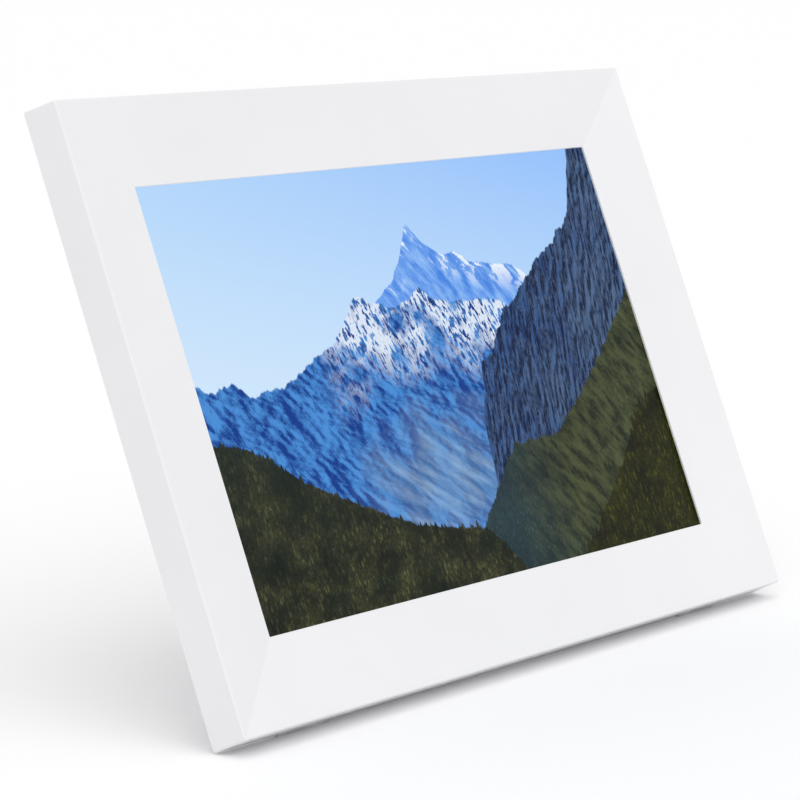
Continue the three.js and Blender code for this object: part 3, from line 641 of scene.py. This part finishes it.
def landscape(m, u, v):
    """A made-up alpine valley on a clear day. u runs across the picture and v up it, 0 to 1."""
    where = m.vector(m.mul(u, PICTURE_WIDTH / PICTURE_HEIGHT), v)

    def below(line, softness=0.0025):
        return m.step(m.sub(line, v), -softness, softness)

    def near_top(line, reach):
        return m.ramp(m.sub(line, v), 0.0, reach, 1.0, 0.0)

    high = m.mix(u, srgb(184, 218, 253), srgb(148, 193, 253))
    low = m.mix(u, srgb(210, 233, 254), srgb(186, 220, 252))
    picture = m.mix(m.ramp(v, 0.52, 0.98), low, high)

    # the snow peak
    peak = skyline(m, u, [(0, 0.4), (0.38, 0.62), (0.41, 0.675), (0.46, 0.72), (0.485, 0.76), (0.525, 0.85),
                          (0.55, 0.8), (0.585, 0.765), (0.615, 0.77), (0.64, 0.745), (0.69, 0.73),
                          (0.74, 0.72), (0.77, 0.683), (1, 0.4)], 0.006, 60, 1.3)
    faces = relief(m, stretched(m, where, (2.0, 0.8), 36), 8, (-0.03, 0.012))
    streaks = m.noise(stretched(m, where, (6, 1.2), 40), 9, detail=6.0)
    snow = m.mix(faces, srgb(70, 132, 226), srgb(126, 178, 247))
    snow = m.mix(m.ramp(streaks, 0.5, 0.75), snow, srgb(158, 200, 250))
    sunny = m.mul(m.step(m.add(faces, m.ramp(u, 0.5, 0.78, -0.3, 0.25)), 0.5, 0.62), near_top(peak, 0.07))
    snow = m.mix(sunny, snow, srgb(240, 246, 254))
    picture = m.mix(below(peak), picture, snow)

    # the nearer blue range, snowy towards its crest and with a pale fan of scree at its foot
    range_top = skyline(m, u, [(0, 0.565), (0.04, 0.53), (0.08, 0.55), (0.11, 0.51), (0.17, 0.52),
                               (0.22, 0.545), (0.29, 0.59), (0.335, 0.64), (0.37, 0.695), (0.4, 0.68),
                               (0.44, 0.66), (0.48, 0.665), (0.51, 0.7), (0.535, 0.67), (0.57, 0.655),
                               (0.62, 0.65), (0.68, 0.64), (1, 0.4)], 0.012, 48, 5.1)
    gullies = relief(m, stretched(m, where, (2.2, 0.9), 44), 11, (-0.024, 0.008))
    folds = relief(m, stretched(m, where, (1.5, 0.9), 32), 3.2, (-0.06, 0.03))
    tone = m.add(m.mul(gullies, 0.5), m.mul(folds, 0.5))
    blue = m.mix(m.ramp(tone, 0.3, 0.7), srgb(4, 58, 140), srgb(72, 142, 216))
    crags = ridged(m, stretched(m, where, (3.0, 1.0), 14), 20)
    patchy = m.ramp(m.noise(where, 9, detail=5.0), 0.38, 0.58)
    snow_line = m.mul(m.mul(near_top(range_top, 0.2), patchy), m.ramp(u, 0.26, 0.36))
    rough_snow = m.mul(m.step(crags, 0.5, 0.8), snow_line)
    dark_rock = m.mul(m.step(crags, 0.34, 0.08), near_top(range_top, 0.3))
    blue = m.mix(m.mul(dark_rock, 0.7), blue, srgb(24, 56, 108))
    blue = m.mix(m.math("MULTIPLY", rough_snow, 2.2, clamp=True), blue, srgb(222, 233, 248))
    fan_centre = m.vector(m.mul(m.sub(u, 0.47), 5.0), m.mul(m.sub(v, 0.25), 6.5))
    reach = m.node("ShaderNodeVectorMath", operation="LENGTH")
    m.put(reach.inputs[0], fan_centre)
    ragged = m.add(reach.outputs["Value"], m.ramp(m.noise(where, 8, detail=8.0), 0.25, 0.75, -0.5, 0.5))
    rills = m.noise(stretched(m, where, (7, 1.0), 56), 6, detail=7.0)
    scree = m.mix(m.ramp(rills, 0.38, 0.62), srgb(82, 124, 172), srgb(150, 180, 210))
    blue = m.mix(m.mul(m.ramp(ragged, 1.2, 0.3), 0.7), blue, scree)
    picture = m.mix(below(range_top), picture, blue)

    # the cliff on the right, navy in shade and grey where its ribs catch the light
    cliff_top = skyline(m, u, [(0, 0), (0.54, 0.1), (0.557, 0.25), (0.565, 0.36), (0.585, 0.42), (0.6, 0.5),
                               (0.63, 0.52), (0.665, 0.58), (0.69, 0.62), (0.72, 0.64), (0.77, 0.69),
                               (0.8, 0.735), (0.84, 0.755), (0.875, 0.79), (0.91, 0.83), (0.93, 0.9),
                               (0.95, 0.97), (1, 1.2)], 0.014, 55, 9.7)
    ribs = relief(m, stretched(m, where, (3.0, 0.6), -14), 10, (-0.024, 0.006))
    cracks = ridged(m, stretched(m, where, (4.2, 0.8), -12), 15)
    shade = m.mix(m.ramp(ribs, 0.35, 0.8), srgb(4, 22, 60), srgb(40, 76, 130))
    bright = m.mix(m.ramp(ribs, 0.3, 0.8), srgb(14, 32, 62), srgb(74, 100, 138))
    depth = m.add(m.sub(u, m.mul(v, 0.42)), m.ramp(m.noise(where, 6, detail=6.0), 0.3, 0.7, -0.14, 0.14))
    cliff = m.mix(m.ramp(depth, 0.42, 0.68), shade, bright)
    cliff = m.mix(m.mul(m.step(cracks, 0.8, 1.0), 0.4), cliff, srgb(100, 126, 162))
    picture = m.mix(below(cliff_top), picture, cliff)

    # the far side of the valley, teal in its shaded foot and olive above
    valley_top = skyline(m, u, [(0, 0), (0.47, 0.08), (0.52, 0.16), (0.56, 0.22), (0.62, 0.3), (0.66, 0.3),
                                (0.72, 0.3), (0.8, 0.38), (0.88, 0.47), (1, 0.62)], 0.012, 40, 14.2)
    woods = conifers(m, where, 190)
    bare = m.noise(stretched(m, where, (1.0, 2.6), -52), 16, detail=10.0)
    olive = m.mix(m.ramp(bare, 0.4, 0.6), srgb(20, 29, 22), srgb(82, 90, 56))
    olive = m.mix(m.mul(woods, 0.6), m.mix(0.35, olive, srgb(18, 26, 18)), srgb(112, 120, 78))
    teal = m.mix(woods, srgb(26, 46, 52), srgb(74, 100, 104))
    meadow = m.mix(m.ramp(u, 0.56, 0.72), teal, olive)
    picture = m.mix(below(m.add(valley_top, treetops(m, u, 150, 0.012)), 0.003), picture, meadow)

    # the two wooded slopes nearest
    near_right = skyline(m, u, [(0, -0.2), (0.68, -0.04), (0.72, 0.03), (0.78, 0.1), (0.83, 0.17),
                                (0.88, 0.24), (0.94, 0.33), (1, 0.37)], 0.014, 30, 20.9)
    near_right = m.add(near_right, treetops(m, u, 80, 0.055))
    wood_right = m.mix(conifers(m, where, 104), srgb(8, 14, 2), srgb(104, 104, 26))
    picture = m.mix(below(near_right), picture, wood_right)

    near_left = skyline(m, u, [(0, 0.425), (0.05, 0.415), (0.1, 0.38), (0.17, 0.3), (0.22, 0.265),
                               (0.3, 0.205), (0.36, 0.165), (0.44, 0.14), (0.5, 0.125), (0.53, 0.08),
                               (0.57, 0.0), (0.6, -0.1), (1, -0.3)], 0.012, 30, 27.5)
    near_left = m.add(near_left, treetops(m, u, 105, 0.034))
    glades = m.noise(stretched(m, where, (1.0, 1.8), 20), 8, detail=7.0)
    lit_side = m.mix(m.ramp(glades, 0.4, 0.6), srgb(64, 76, 50), srgb(128, 128, 80))
    wood_left = m.mix(conifers(m, where, 120), srgb(12, 19, 10), lit_side)
    wood_left = m.mix(m.mul(m.ramp(v, 0.12, 0.42), 0.3), wood_left, srgb(34, 50, 46))
    return m.mix(below(near_left), picture, wood_left)


def screen_material():
    """A switched-on panel under a satin surface: the picture and a black edge."""
    m = Nodes("lcd_picture")
    place = m.node("ShaderNodeSeparateXYZ")
    m.put(place.inputs[0], m.place())
    across, _, up = place.outputs
    u = m.add(m.mul(across, 1 / (MM * PICTURE_WIDTH)), 0.5)
    v = m.add(m.mul(m.sub(up, MM * MIDDLE), 1 / (MM * PICTURE_HEIGHT)), 0.5)
    edge_x = m.sub(0.5, m.math("ABSOLUTE", m.sub(u, 0.5)))
    edge_z = m.sub(0.5, m.math("ABSOLUTE", m.sub(v, 0.5)))
    lit = m.step(m.math("MINIMUM", edge_x, edge_z), -0.0005, 0.0005)
    satin = m.noise(m.place(), 2600, detail=2)
    m.set(Base_Color=(0.003, 0.003, 0.004, 1.0), Roughness=m.ramp(satin, 0.3, 0.7, 0.34, 0.46),
          Specular_IOR_Level=0.08, Emission_Color=landscape(m, u, v), Emission_Strength=m.mul(lit, 0.97))
    m.bump(satin, 0.000002)
    return m.material


def lcd_glass():
    back = GLASS_FRONT + GLASS_THICKNESS
    loops = []
    for inset, depth in ((0.25, GLASS_FRONT), (0, GLASS_FRONT + 0.25), (0, back - 0.25), (0.25, back)):
        width, height = GLASS_WIDTH - 2 * inset, GLASS_HEIGHT - 2 * inset
        outline = rounded_rectangle(width, height, 0.6, (0, MIDDLE), steps=3)
        loops.append(at_depth(outline, depth))
    made = new_object("lcd_cell", loops, PANEL, screen_material())
    finish_piece(made, "frame", "screen", "lcd_glass")


lcd_glass()

# -------------------- rear cover


def keyhole_outline(x, z):
    """A round entry with a round-ended neck above it, grown by o."""
    def outline(o):
        big, small = KEYHOLE_ENTRY + o, KEYHOLE_NECK + o
        meet = math.asin(small / big)
        points = []
        for i in range(25):
            angle = math.pi / 2 + meet + (2 * math.pi - 2 * meet) * i / 24
            points.append((x + big * math.cos(angle), z + big * math.sin(angle)))
        for i in range(13):
            angle = math.pi * i / 12
            points.append((x + small * math.cos(angle), z + KEYHOLE_RISE + small * math.sin(angle)))
        return points
    return outline


def button_size(name):
    return (8.0, 8.0, 3.95) if name == "power" else (10.0, 6.6, 2.0)


def button_height(i):
    return FIRST_BUTTON + i * BUTTON_PITCH


def slots(centre_x, centre_z, count, pitch, width, height):
    """Round-ended slots through the back, with a slightly broken edge."""
    made = []
    for i in range(count):
        x = centre_x + (i - (count - 1) / 2) * pitch

        def outline(o, x=x):
            radius = width / 2 - 0.02 + o
            return rounded_rectangle(width + 2 * o, height + 2 * o, radius, (x, centre_z), steps=4)
        made.append(flared_cutter("slot", outline, BOX_INNER - 1, BOX_BACK, 0.3))
    return made


SOCKETS = {
    "dc_power_jack": (28.0, 13.0, 6.6, 9.4),
    "headphone_jack": (40.5, 12.0, 5.6, 6.4),
    "mini_usb_socket": (51.5, 9.2, 4.0, 7.8),
    "usb_socket": (65.5, 14.4, 7.0, 14.4),
    "sd_card_slot": (89.5, 29.0, 3.1, 27.6),
}


def port_cutter(name):
    """The opening in the side wall for one socket, with a chamfer round its mouth."""
    z, _, height, width = SOCKETS[name]
    middle = BOARD_BACK + height / 2
    loops = []
    for x, grow in ((112.0, GAP), (119.3, GAP), (121.3, GAP + 1.0), (124.0, GAP + 1.0)):
        outline = rounded_rectangle(height + 2 * grow, width + 2 * grow, 0.5 + 0.5 * grow,
                                    (middle, z), steps=4)
        loops.append([(x, y, z0) for y, z0 in outline])
    return new_object("port", loops, PANEL)


def rear_cover():
    """One shell: its inside, its flange and its raised box are skinned in one pass, then cut."""
    def outline(width, height, radius):
        return rounded_rectangle(width, height, radius, (0, MIDDLE), steps=8)

    def box(depth, inward, radius, thickness=0.0):
        drop = 2 * (inward + thickness)
        return at_depth(outline(BOX_WIDTH - drop, BOX_HEIGHT - drop, radius), depth)

    def flange(depth, inward):
        return at_depth(outline(FLANGE_WIDTH - 2 * inward, FLANGE_HEIGHT - 2 * inward, 1.5), depth)

    loops = [box(BOX_INNER, BOX_DRAFT, BOX_CORNER - 3, WALL),
             box(BOX_INNER - 0.01, BOX_DRAFT - 0.01, BOX_CORNER - 3, WALL),
             box(FLANGE_FRONT + 0.01, 0, BOX_CORNER - 2, WALL), box(FLANGE_FRONT, 0, BOX_CORNER - 2, WALL),
             flange(FLANGE_FRONT, 0.2), flange(FLANGE_FRONT + 0.2, 0), flange(SIDE_DEPTH - 0.3, 0),
             flange(SIDE_DEPTH, 0.3), box(SIDE_DEPTH, -0.9, BOX_CORNER + 0.9),
             box(SIDE_DEPTH + 0.08, -0.5, BOX_CORNER + 0.5),
             box(SIDE_DEPTH + 0.35, -0.15, BOX_CORNER + 0.15), box(SIDE_DEPTH + 0.9, 0.1, BOX_CORNER)]
    for angle in quarter_turn(7):
        round_in = 1.9 * (1 - math.cos(angle))
        loops.append(box(BOX_BACK - 2 + 2 * math.sin(angle), BOX_DRAFT + round_in,
                         BOX_CORNER - 1 - 0.5 * round_in))
    made = new_object("cover_shell", loops, PANEL, white_back)

    half, top = RECESS_HALF_WIDTH + RECESS_WALL, RECESS_TOP + RECESS_WALL
    skin_loops = [at_depth([(-half, low), (half, low), (half, top), (-half, top)], depth)
                  for depth, low in ((RECESS_FLOOR - RECESS_WALL, 10.0), (BOX_BACK - 1, 12.0))]
    boolean(made, [new_object("skin", skin_loops, PANEL)], "UNION")

    # The pin's bore comes before the openings, while the shell still has few faces.
    reach = RECESS_HALF_WIDTH + 4
    bore = bar_tool("pin_bore", (-reach, reach), HINGE_DEPTH, HINGE_HEIGHT, PIN_RADIUS + 0.05, PANEL)
    boolean(made, [bore], "DIFFERENCE")

    def recess(o):
        wide, top = RECESS_HALF_WIDTH + o, RECESS_TOP + o
        return [(-wide, -5), (wide, -5), (wide, top - 2), (wide - 0.6, top - 0.6), (wide - 2, top),
                (-wide + 2, top), (-wide + 0.6, top - 0.6), (-wide, top - 2)]

    cutters = [flared_cutter("recess", recess, RECESS_FLOOR, BOX_BACK, 0.8)]
    for side in (-1, 1):
        cutters.append(flared_cutter("keyhole", keyhole_outline(side * KEYHOLE_X, KEYHOLE_HEIGHT),
                                     BOX_INNER - 1, BOX_BACK, 0.4))
        cutters += slots(side * SPEAKER_X, SPEAKER_HEIGHT, 7, 3.6, 1.6, 15)
        cutters += slots(side * VENT_X, VENT_HEIGHT, 8, 5, 2, 26)
    for i, name in enumerate(BUTTON_NAMES):
        width, height, radius = button_size(name)

        def hole(o, size=(width, height, radius), z=button_height(i)):
            grow = GAP + o
            return rounded_rectangle(size[0] + 2 * grow, size[1] + 2 * grow, size[2] + grow,
                                     (BUTTON_X, z), steps=6)
        cutters.append(flared_cutter("hole", hole, BOX_INNER - 1, BOX_BACK, 0.5))
    cutters += [port_cutter(name) for name in SOCKETS]
    cutters += [post_tool("screw_hole", x, z, 1.9, FLANGE_FRONT - 1, SIDE_DEPTH + 1)
                for x, z in corners(COVER_SCREW_X, COVER_SCREW_OFFSET)]
    boolean(made, cutters, "DIFFERENCE")
    finish_piece(made, "frame", "white_back", "rear_cover")


rear_cover()

# -------------------- buttons and cover screws


def prism(name, outline, front, back, matrix):
    return new_object(name, [at_depth(outline, front), at_depth(outline, back)], matrix)


def symbol(name, matrix):
    """The shapes sunk into one button's face: an arrow, three bars, or a bar."""
    depths = (0.8, 1.4)
    if name in ("up", "down", "play"):
        start = {"up": 90, "down": 270, "play": 0}[name]
        angles = [math.radians(start + 120 * k) for k in range(3)]
        # Seen from behind, x runs to the left, so the arrow for play is turned round.
        flip = -1 if name == "play" else 1
        arrow = [(flip * 1.7 * math.cos(a), 1.7 * math.sin(a)) for a in angles]
        return [prism("symbol", arrow, *depths, matrix)]
    if name == "menu":
        bars = [rounded_rectangle(3.6, 0.5, 0.2, (0, z)) for z in (-1.2, 0, 1.2)]
        return [prism("symbol", bar, *depths, matrix) for bar in bars]
    return [prism("symbol", rounded_rectangle(0.6, 3.0, 0.28, (0, 0.6)), *depths, matrix)]


def button(name, i):
    """A crowned cap with a flange behind the cover. Its origin is on the cover's back face."""
    width, height, radius = button_size(name)
    behind = -WALL - GAP
    matrix = PANEL @ Matrix.Translation((MM * BUTTON_X, MM * BOX_BACK, MM * button_height(i)))
    loops = []
    for depth, inward in ((behind - 0.8, -1.0), (behind - 0.7, -1.2), (behind - 0.1, -1.2),
                          (behind, -1.0), (behind, 0.0), (0.35, 0.0), (0.6, 0.06), (0.79, 0.2),
                          (0.91, 0.45), (0.97, 0.9), (1.0, 1.7)):
        corner = max(0.6, radius - 0.5 * max(0.0, inward)) if inward > -1 else radius + 0.8
        corner = min(corner, height / 2 - inward - 0.02)
        outline = rounded_rectangle(width - 2 * inward, height - 2 * inward, corner, steps=6)
        loops.append(at_depth(outline, depth))
    made = new_object(name + "_cap", loops, matrix, button_grey)
    boolean(made, symbol(name, matrix), "DIFFERENCE")
    finish_piece(made, name + "_key", "button_grey", name + "_button", sharp_angle=30)


for i, name in enumerate(BUTTON_NAMES):
    button(name, i)


def cross_cutter(matrix, reach, half_slot, bottom, top):
    """A tapered cross recess as two crossed wedges."""
    wedges = []
    for long_x in (True, False):
        loops = []
        for depth, share in ((bottom, 0.45), (top, 1.15)):
            a, b = (reach * share, half_slot) if long_x else (half_slot, reach * share)
            loops.append(at_depth([(a, b), (-a, b), (-a, -b), (a, -b)], depth))
        wedges.append(new_object("wedge", loops, matrix))
    return wedges


def cover_screw(i, x, z):
    """A pan head screw with a cross recess, turned about y from (radius, depth) points."""
    seat = Matrix.Translation((MM * x, MM * (SIDE_DEPTH + 0.1), MM * z))
    matrix = PANEL @ seat @ Matrix.Rotation(0.7 * i, 4, "Y")
    profile = [(0.3, -6), (0.8, -5.8), (1.25, -4.8), (1.25, 0), (2.6, 0), (2.8, 0.15), (2.8, 0.45),
               (2.65, 0.75), (2.3, 1.02), (1.7, 1.2), (0.9, 1.28), (0.3, 1.3)]
    loops = [at_depth(circle(radius, steps=32), depth) for radius, depth in profile]
    made = new_object(f"pan_head_{i}", loops, matrix, screw_steel)
    for wedge in cross_cutter(matrix, 1.5, 0.36, 0.45, 1.5):
        boolean(made, [wedge], "DIFFERENCE")
    finish_piece(made, "frame", "screw_steel", f"cover_screw_{i}", sharp_angle=32)


for i, (x, z) in enumerate(corners(COVER_SCREW_X, COVER_SCREW_OFFSET), start=1):
    cover_screw(i, x, z)

# -------------------- sockets


def socket_axes(name):
    """Origin at the socket's mouth on the board: x out of the case, y off the board, z along it."""
    return PANEL @ Matrix.Translation((MM * SOCKET_FACE, MM * BOARD_BACK, MM * SOCKETS[name][0]))


def round_socket(name, bore, bore_depth, pin_radius, ring_material):
    """A block with a lined round bore and, where pin_radius isn't 0, a centre pin."""
    _, depth, height, width = SOCKETS[name]
    matrix = socket_axes(name)
    middle = height / 2
    outline = rounded_rectangle(height, width, 0.6, (middle, 0), steps=4)
    body = run("body", outline, (-depth, 0), matrix, black_plastic)
    boolean(body, [run("bore", circle(bore, (middle, 0), 36), (-bore_depth, 1), matrix)], "DIFFERENCE")
    pieces = [body]
    ring = run("ring", circle(bore - 0.01, (middle, 0), 36), (-bore_depth + 0.5, -0.6), matrix, ring_material)
    boolean(ring, [run("hole", circle(bore - 0.25, (middle, 0), 36), (-bore_depth, 1), matrix)], "DIFFERENCE")
    pieces.append(ring)
    if pin_radius:
        loops = []
        for x, share in ((-bore_depth, 1), (-1.4, 1), (-1.1, 0.85), (-1.0, 0.5)):
            loops.append([(x, y, z0) for y, z0 in circle(pin_radius * share, (middle, 0), 20)])
        pieces.append(new_object("pin", loops, matrix, screw_steel))
    made = joined(name + "_shell", pieces, matrix)
    finish_piece(made, "frame", "black_parts", name)


def shell_socket(name, corner, sheet, tongue, contacts, contact_size):
    """A pressed shell with a plastic tongue and gold contacts on it."""
    _, depth, height, width = SOCKETS[name]
    matrix = socket_axes(name)
    middle = height / 2
    outside = rounded_rectangle(height, width, corner, (middle, 0), steps=4)
    shell = run("shell", outside, (-depth, 0), matrix, sheet_steel)
    inside = rounded_rectangle(height - 2 * sheet, width - 2 * sheet, max(0.1, corner - sheet),
                               (middle, 0), steps=4)
    boolean(shell, [run("mouth", inside, (-depth + 1.2, 1), matrix)], "DIFFERENCE")
    pieces = [shell]
    low, thickness, tongue_width, front = tongue
    outline = rounded_rectangle(thickness, tongue_width, 0.15, (low + thickness / 2, 0), steps=3)
    pieces.append(run("tongue", outline, (-depth + 1.3, front), matrix, black_plastic))
    pitch, along = contact_size
    for k in range(contacts):
        at = (k - (contacts - 1) / 2) * pitch
        strip = rounded_rectangle(0.12, 0.45 * pitch, 0.05, (low - 0.05, at), steps=2)
        pieces.append(run("contact", strip, (-along, front - 0.5), matrix, gold))
    made = joined(name + "_shell", pieces, matrix)
    finish_piece(made, "frame", "sheet_steel", name)


round_socket("dc_power_jack", 2.75, 9.0, 0.85, screw_steel)
round_socket("headphone_jack", 1.8, 10.0, 0, gold)
shell_socket("mini_usb_socket", 0.8, 0.5, (2.5, 0.8, 4.6, -1.6), 5, (0.8, 7.0))
shell_socket("usb_socket", 0.5, 0.5, (4.3, 1.6, 11.0, -1.6), 4, (2.5, 12.0))
shell_socket("sd_card_slot", 0.35, 0.4, (2.3, 0.3, 24.0, -20.0), 9, (2.5, 26.0))

# -------------------- stand


# Level axes at the foot of the open leg.
LEG_FOOT = (LEG @ Matrix.Translation((0, 0, -MM * LEG_REACH))
            @ Matrix.Rotation(LEAN - LEG_OPENING, 4, "X"))


def leg_outline(inset):
    """The leg's flat outline from the hinge down past the floor, drawn in by inset."""
    top, foot = LEG_TOP_WIDTH / 2 - inset, LEG_FOOT_WIDTH / 2 - inset
    return [(-top, 0), (top, 0), (foot, -LEG_REACH - 3), (-foot, -LEG_REACH - 3)]


def stand_leg():
    half = LEG_THICKNESS / 2
    loops = []
    edge = 0.8
    for angle in quarter_turn(4):
        outline = leg_outline(edge * (1 - math.sin(angle)))
        loops.append(at_depth(outline, -half + edge * (1 - math.cos(angle))))
    for angle in quarter_turn(4):
        outline = leg_outline(edge * (1 - math.cos(angle)))
        loops.append(at_depth(outline, half - edge + edge * math.sin(angle)))
    made = new_object("leg_moulding", loops, LEG, white_back)
    reach = LEG_TOP_WIDTH / 2
    boolean(made, [bar_tool("barrel", (-reach, reach), 0, 0, BARREL_RADIUS, LEG, 48)], "UNION")
    boolean(made, [block_cutter("tail", (-12, 12), (-0.4, 2.0), (0, 5.0), LEG)], "UNION")

    hollows = []
    rows = 3
    bottom, top = -LEG_REACH + 14, -9.0
    pitch = (top - bottom) / rows
    for row in range(rows):
        low, high = bottom + row * pitch + 0.6, bottom + (row + 1) * pitch - 0.6
        for side in (-1, 1):
            x = (1.2, 16.5) if side > 0 else (-16.5, -1.2)
            hollows.append(block_cutter("hollow", x, (-LEG_THICKNESS, 0.6), (low, high), LEG))
    boolean(made, hollows, "DIFFERENCE")
    notch = bar_tool("notch", (-8, 8), half + 3.2, -LEG_REACH + 7, 5, LEG, 64)
    grooves = [bar_tool("groove", (-9, 9), half + 0.15, -LEG_REACH + 15.5 + 2.2 * k, 0.4, LEG, 16)
               for k in range(5)]
    boolean(made, [notch] + grooves, "DIFFERENCE")
    bore = bar_tool("bore", (-reach - 4, reach + 4), 0, 0, PIN_RADIUS + 0.05, LEG, 32)
    boolean(made, [bore], "DIFFERENCE")
    floor_cut = block_cutter("floor_cut", (-40, 40), (-20, 20), (-20, PAD_THICKNESS + GAP), LEG_FOOT)
    boolean(made, [floor_cut], "DIFFERENCE")
    finish_piece(made, "stand", "white_back", "stand_leg")


def stand_foot_pad():
    """A silicone pad on the end of the leg, level with the floor when the leg is open."""
    loops = []
    for height, inset in ((0, 0.2), (0.15, 0.04), (0.35, 0), (PAD_THICKNESS - 0.2, 0), (PAD_THICKNESS, 0.15)):
        outline = rounded_rectangle(PAD_WIDTH - 2 * inset, PAD_LENGTH - 2 * inset, 1.2 - inset, steps=5)
        loops.append([(x, y, height) for x, y in outline])
    made = new_object("leg_pad", loops, LEG_FOOT, pale_rubber)
    finish_piece(made, "stand", "rubber", "stand_foot_pad")


def hinge_pin():
    radius = PIN_RADIUS - 0.02
    loops = []
    for x, share in ((-24.2, 0.6), (-24.0, 0.9), (-23.7, 1), (23.7, 1), (24.0, 0.9), (24.2, 0.6)):
        loops.append([(x, y, z) for y, z in circle(radius * share, steps=28)])
    made = new_object("pin_rod", loops, PANEL @ HINGE, screw_steel)
    finish_piece(made, "frame", "screw_steel", "stand_hinge_pin")


def hinge_washer():
    outer, inner = BARREL_RADIUS - 0.2, PIN_RADIUS + 0.15
    loops = []
    for x, radius in ((20.6, inner), (20.6, outer - 0.1), (20.7, outer), (21.7, outer),
                      (21.8, outer - 0.1), (21.8, inner)):
        loops.append([(x, y, z) for y, z in circle(radius, steps=36)])
    made = new_object("friction_washer", loops, PANEL @ HINGE, sheet_steel, ring=True)
    finish_piece(made, "frame", "sheet_steel", "stand_hinge_washer")


stand_leg()
stand_foot_pad()
hinge_pin()
hinge_washer()

# -------------------- carried-over pieces

CARRIED = {
    "foam": (foam, ["screen_gasket"]),
    "film": (optical_film, ["lcd_optical_films"]),
    "acrylic": (clear_acrylic, ["lcd_light_guide"]),
    "chassis": (chassis_plastic, ["lcd_chassis", "lcd_led_strip", "lcd_connector"]),
    "steel": (sheet_steel, ["lcd_back_tray", "lcd_bracket_bottom", "lcd_bracket_top", "coin_cell"]),
    "fasteners": (screw_steel, [f"lcd_bracket_screw_{i}" for i in range(1, 5)]
                  + [f"board_screw_{i}" for i in range(1, 4)]),
    "boards": (laminate, ["main_board", "key_board"]),
    "black": (black_plastic, ["processor_chip", "memory_chip", "flash_chip", "audio_amp_chip",
                              "power_inductor", "coin_cell_holder", "speaker_left", "speaker_right"]
              + [f"{name}_switch" for name in BUTTON_NAMES]),
    "cans": (aluminium, ["capacitor_1", "capacitor_2"]),
    "cable": (cable_film, ["lcd_flex_cable"]),
    "leads": (lead_red, ["speaker_lead_left", "speaker_lead_right"]),
}
for material, nodes in CARRIED.values():
    for name in nodes:
        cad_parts[name].data.materials.clear()
        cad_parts[name].data.materials.append(material)

# -------------------- stage

SURROUND = 0.76
OVERHEAD = 1.08
FILL = 0.9
OVERHEAD_FROM = (-0.3, -0.45, 1.0)
FILL_PLACE = (1.1, -1.6, 0.35)
FILL_AIM_HEIGHT = 0.1
FLOOR_HALF_WIDTH = 60.0


def add_stage():
    """A plain pale floor, an even white surround, a broad light above and a low fill."""
    bm = bmesh.new()
    bmesh.ops.create_grid(bm, x_segments=1, y_segments=1, size=FLOOR_HALF_WIDTH)
    mesh = as_mesh("floor", bm)
    m = Nodes("floor_paint")
    m.set(Base_Color=(0.95, 0.95, 0.955, 1.0), Roughness=0.85, Specular_IOR_Level=0.2)
    mesh.materials.append(m.material)
    floor = placed("floor", mesh)

    world = bpy.data.worlds.new("surround")
    world.use_nodes = True
    background = world.node_tree.nodes["Background"]
    background.inputs["Color"].default_value = (1.0, 1.0, 1.0, 1.0)
    background.inputs["Strength"].default_value = SURROUND
    bpy.context.scene.world = world

    data = bpy.data.lights.new("overhead", "SUN")
    data.energy = OVERHEAD
    data.angle = math.radians(70)
    light = placed("overhead", data)
    light.rotation_euler = Vector(OVERHEAD_FROM).to_track_quat("Z", "Y").to_euler()

    data = bpy.data.lights.new("fill", "AREA")
    data.size = 1.2
    data.energy = FILL
    fill = placed("fill", data)
    fill.location = FILL_PLACE
    aim = Vector(FILL_PLACE) - Vector((0, 0, FILL_AIM_HEIGHT))
    fill.rotation_euler = aim.to_track_quat("Z", "Y").to_euler()
    bpy.context.scene.view_settings.view_transform = "Standard"


add_stage()
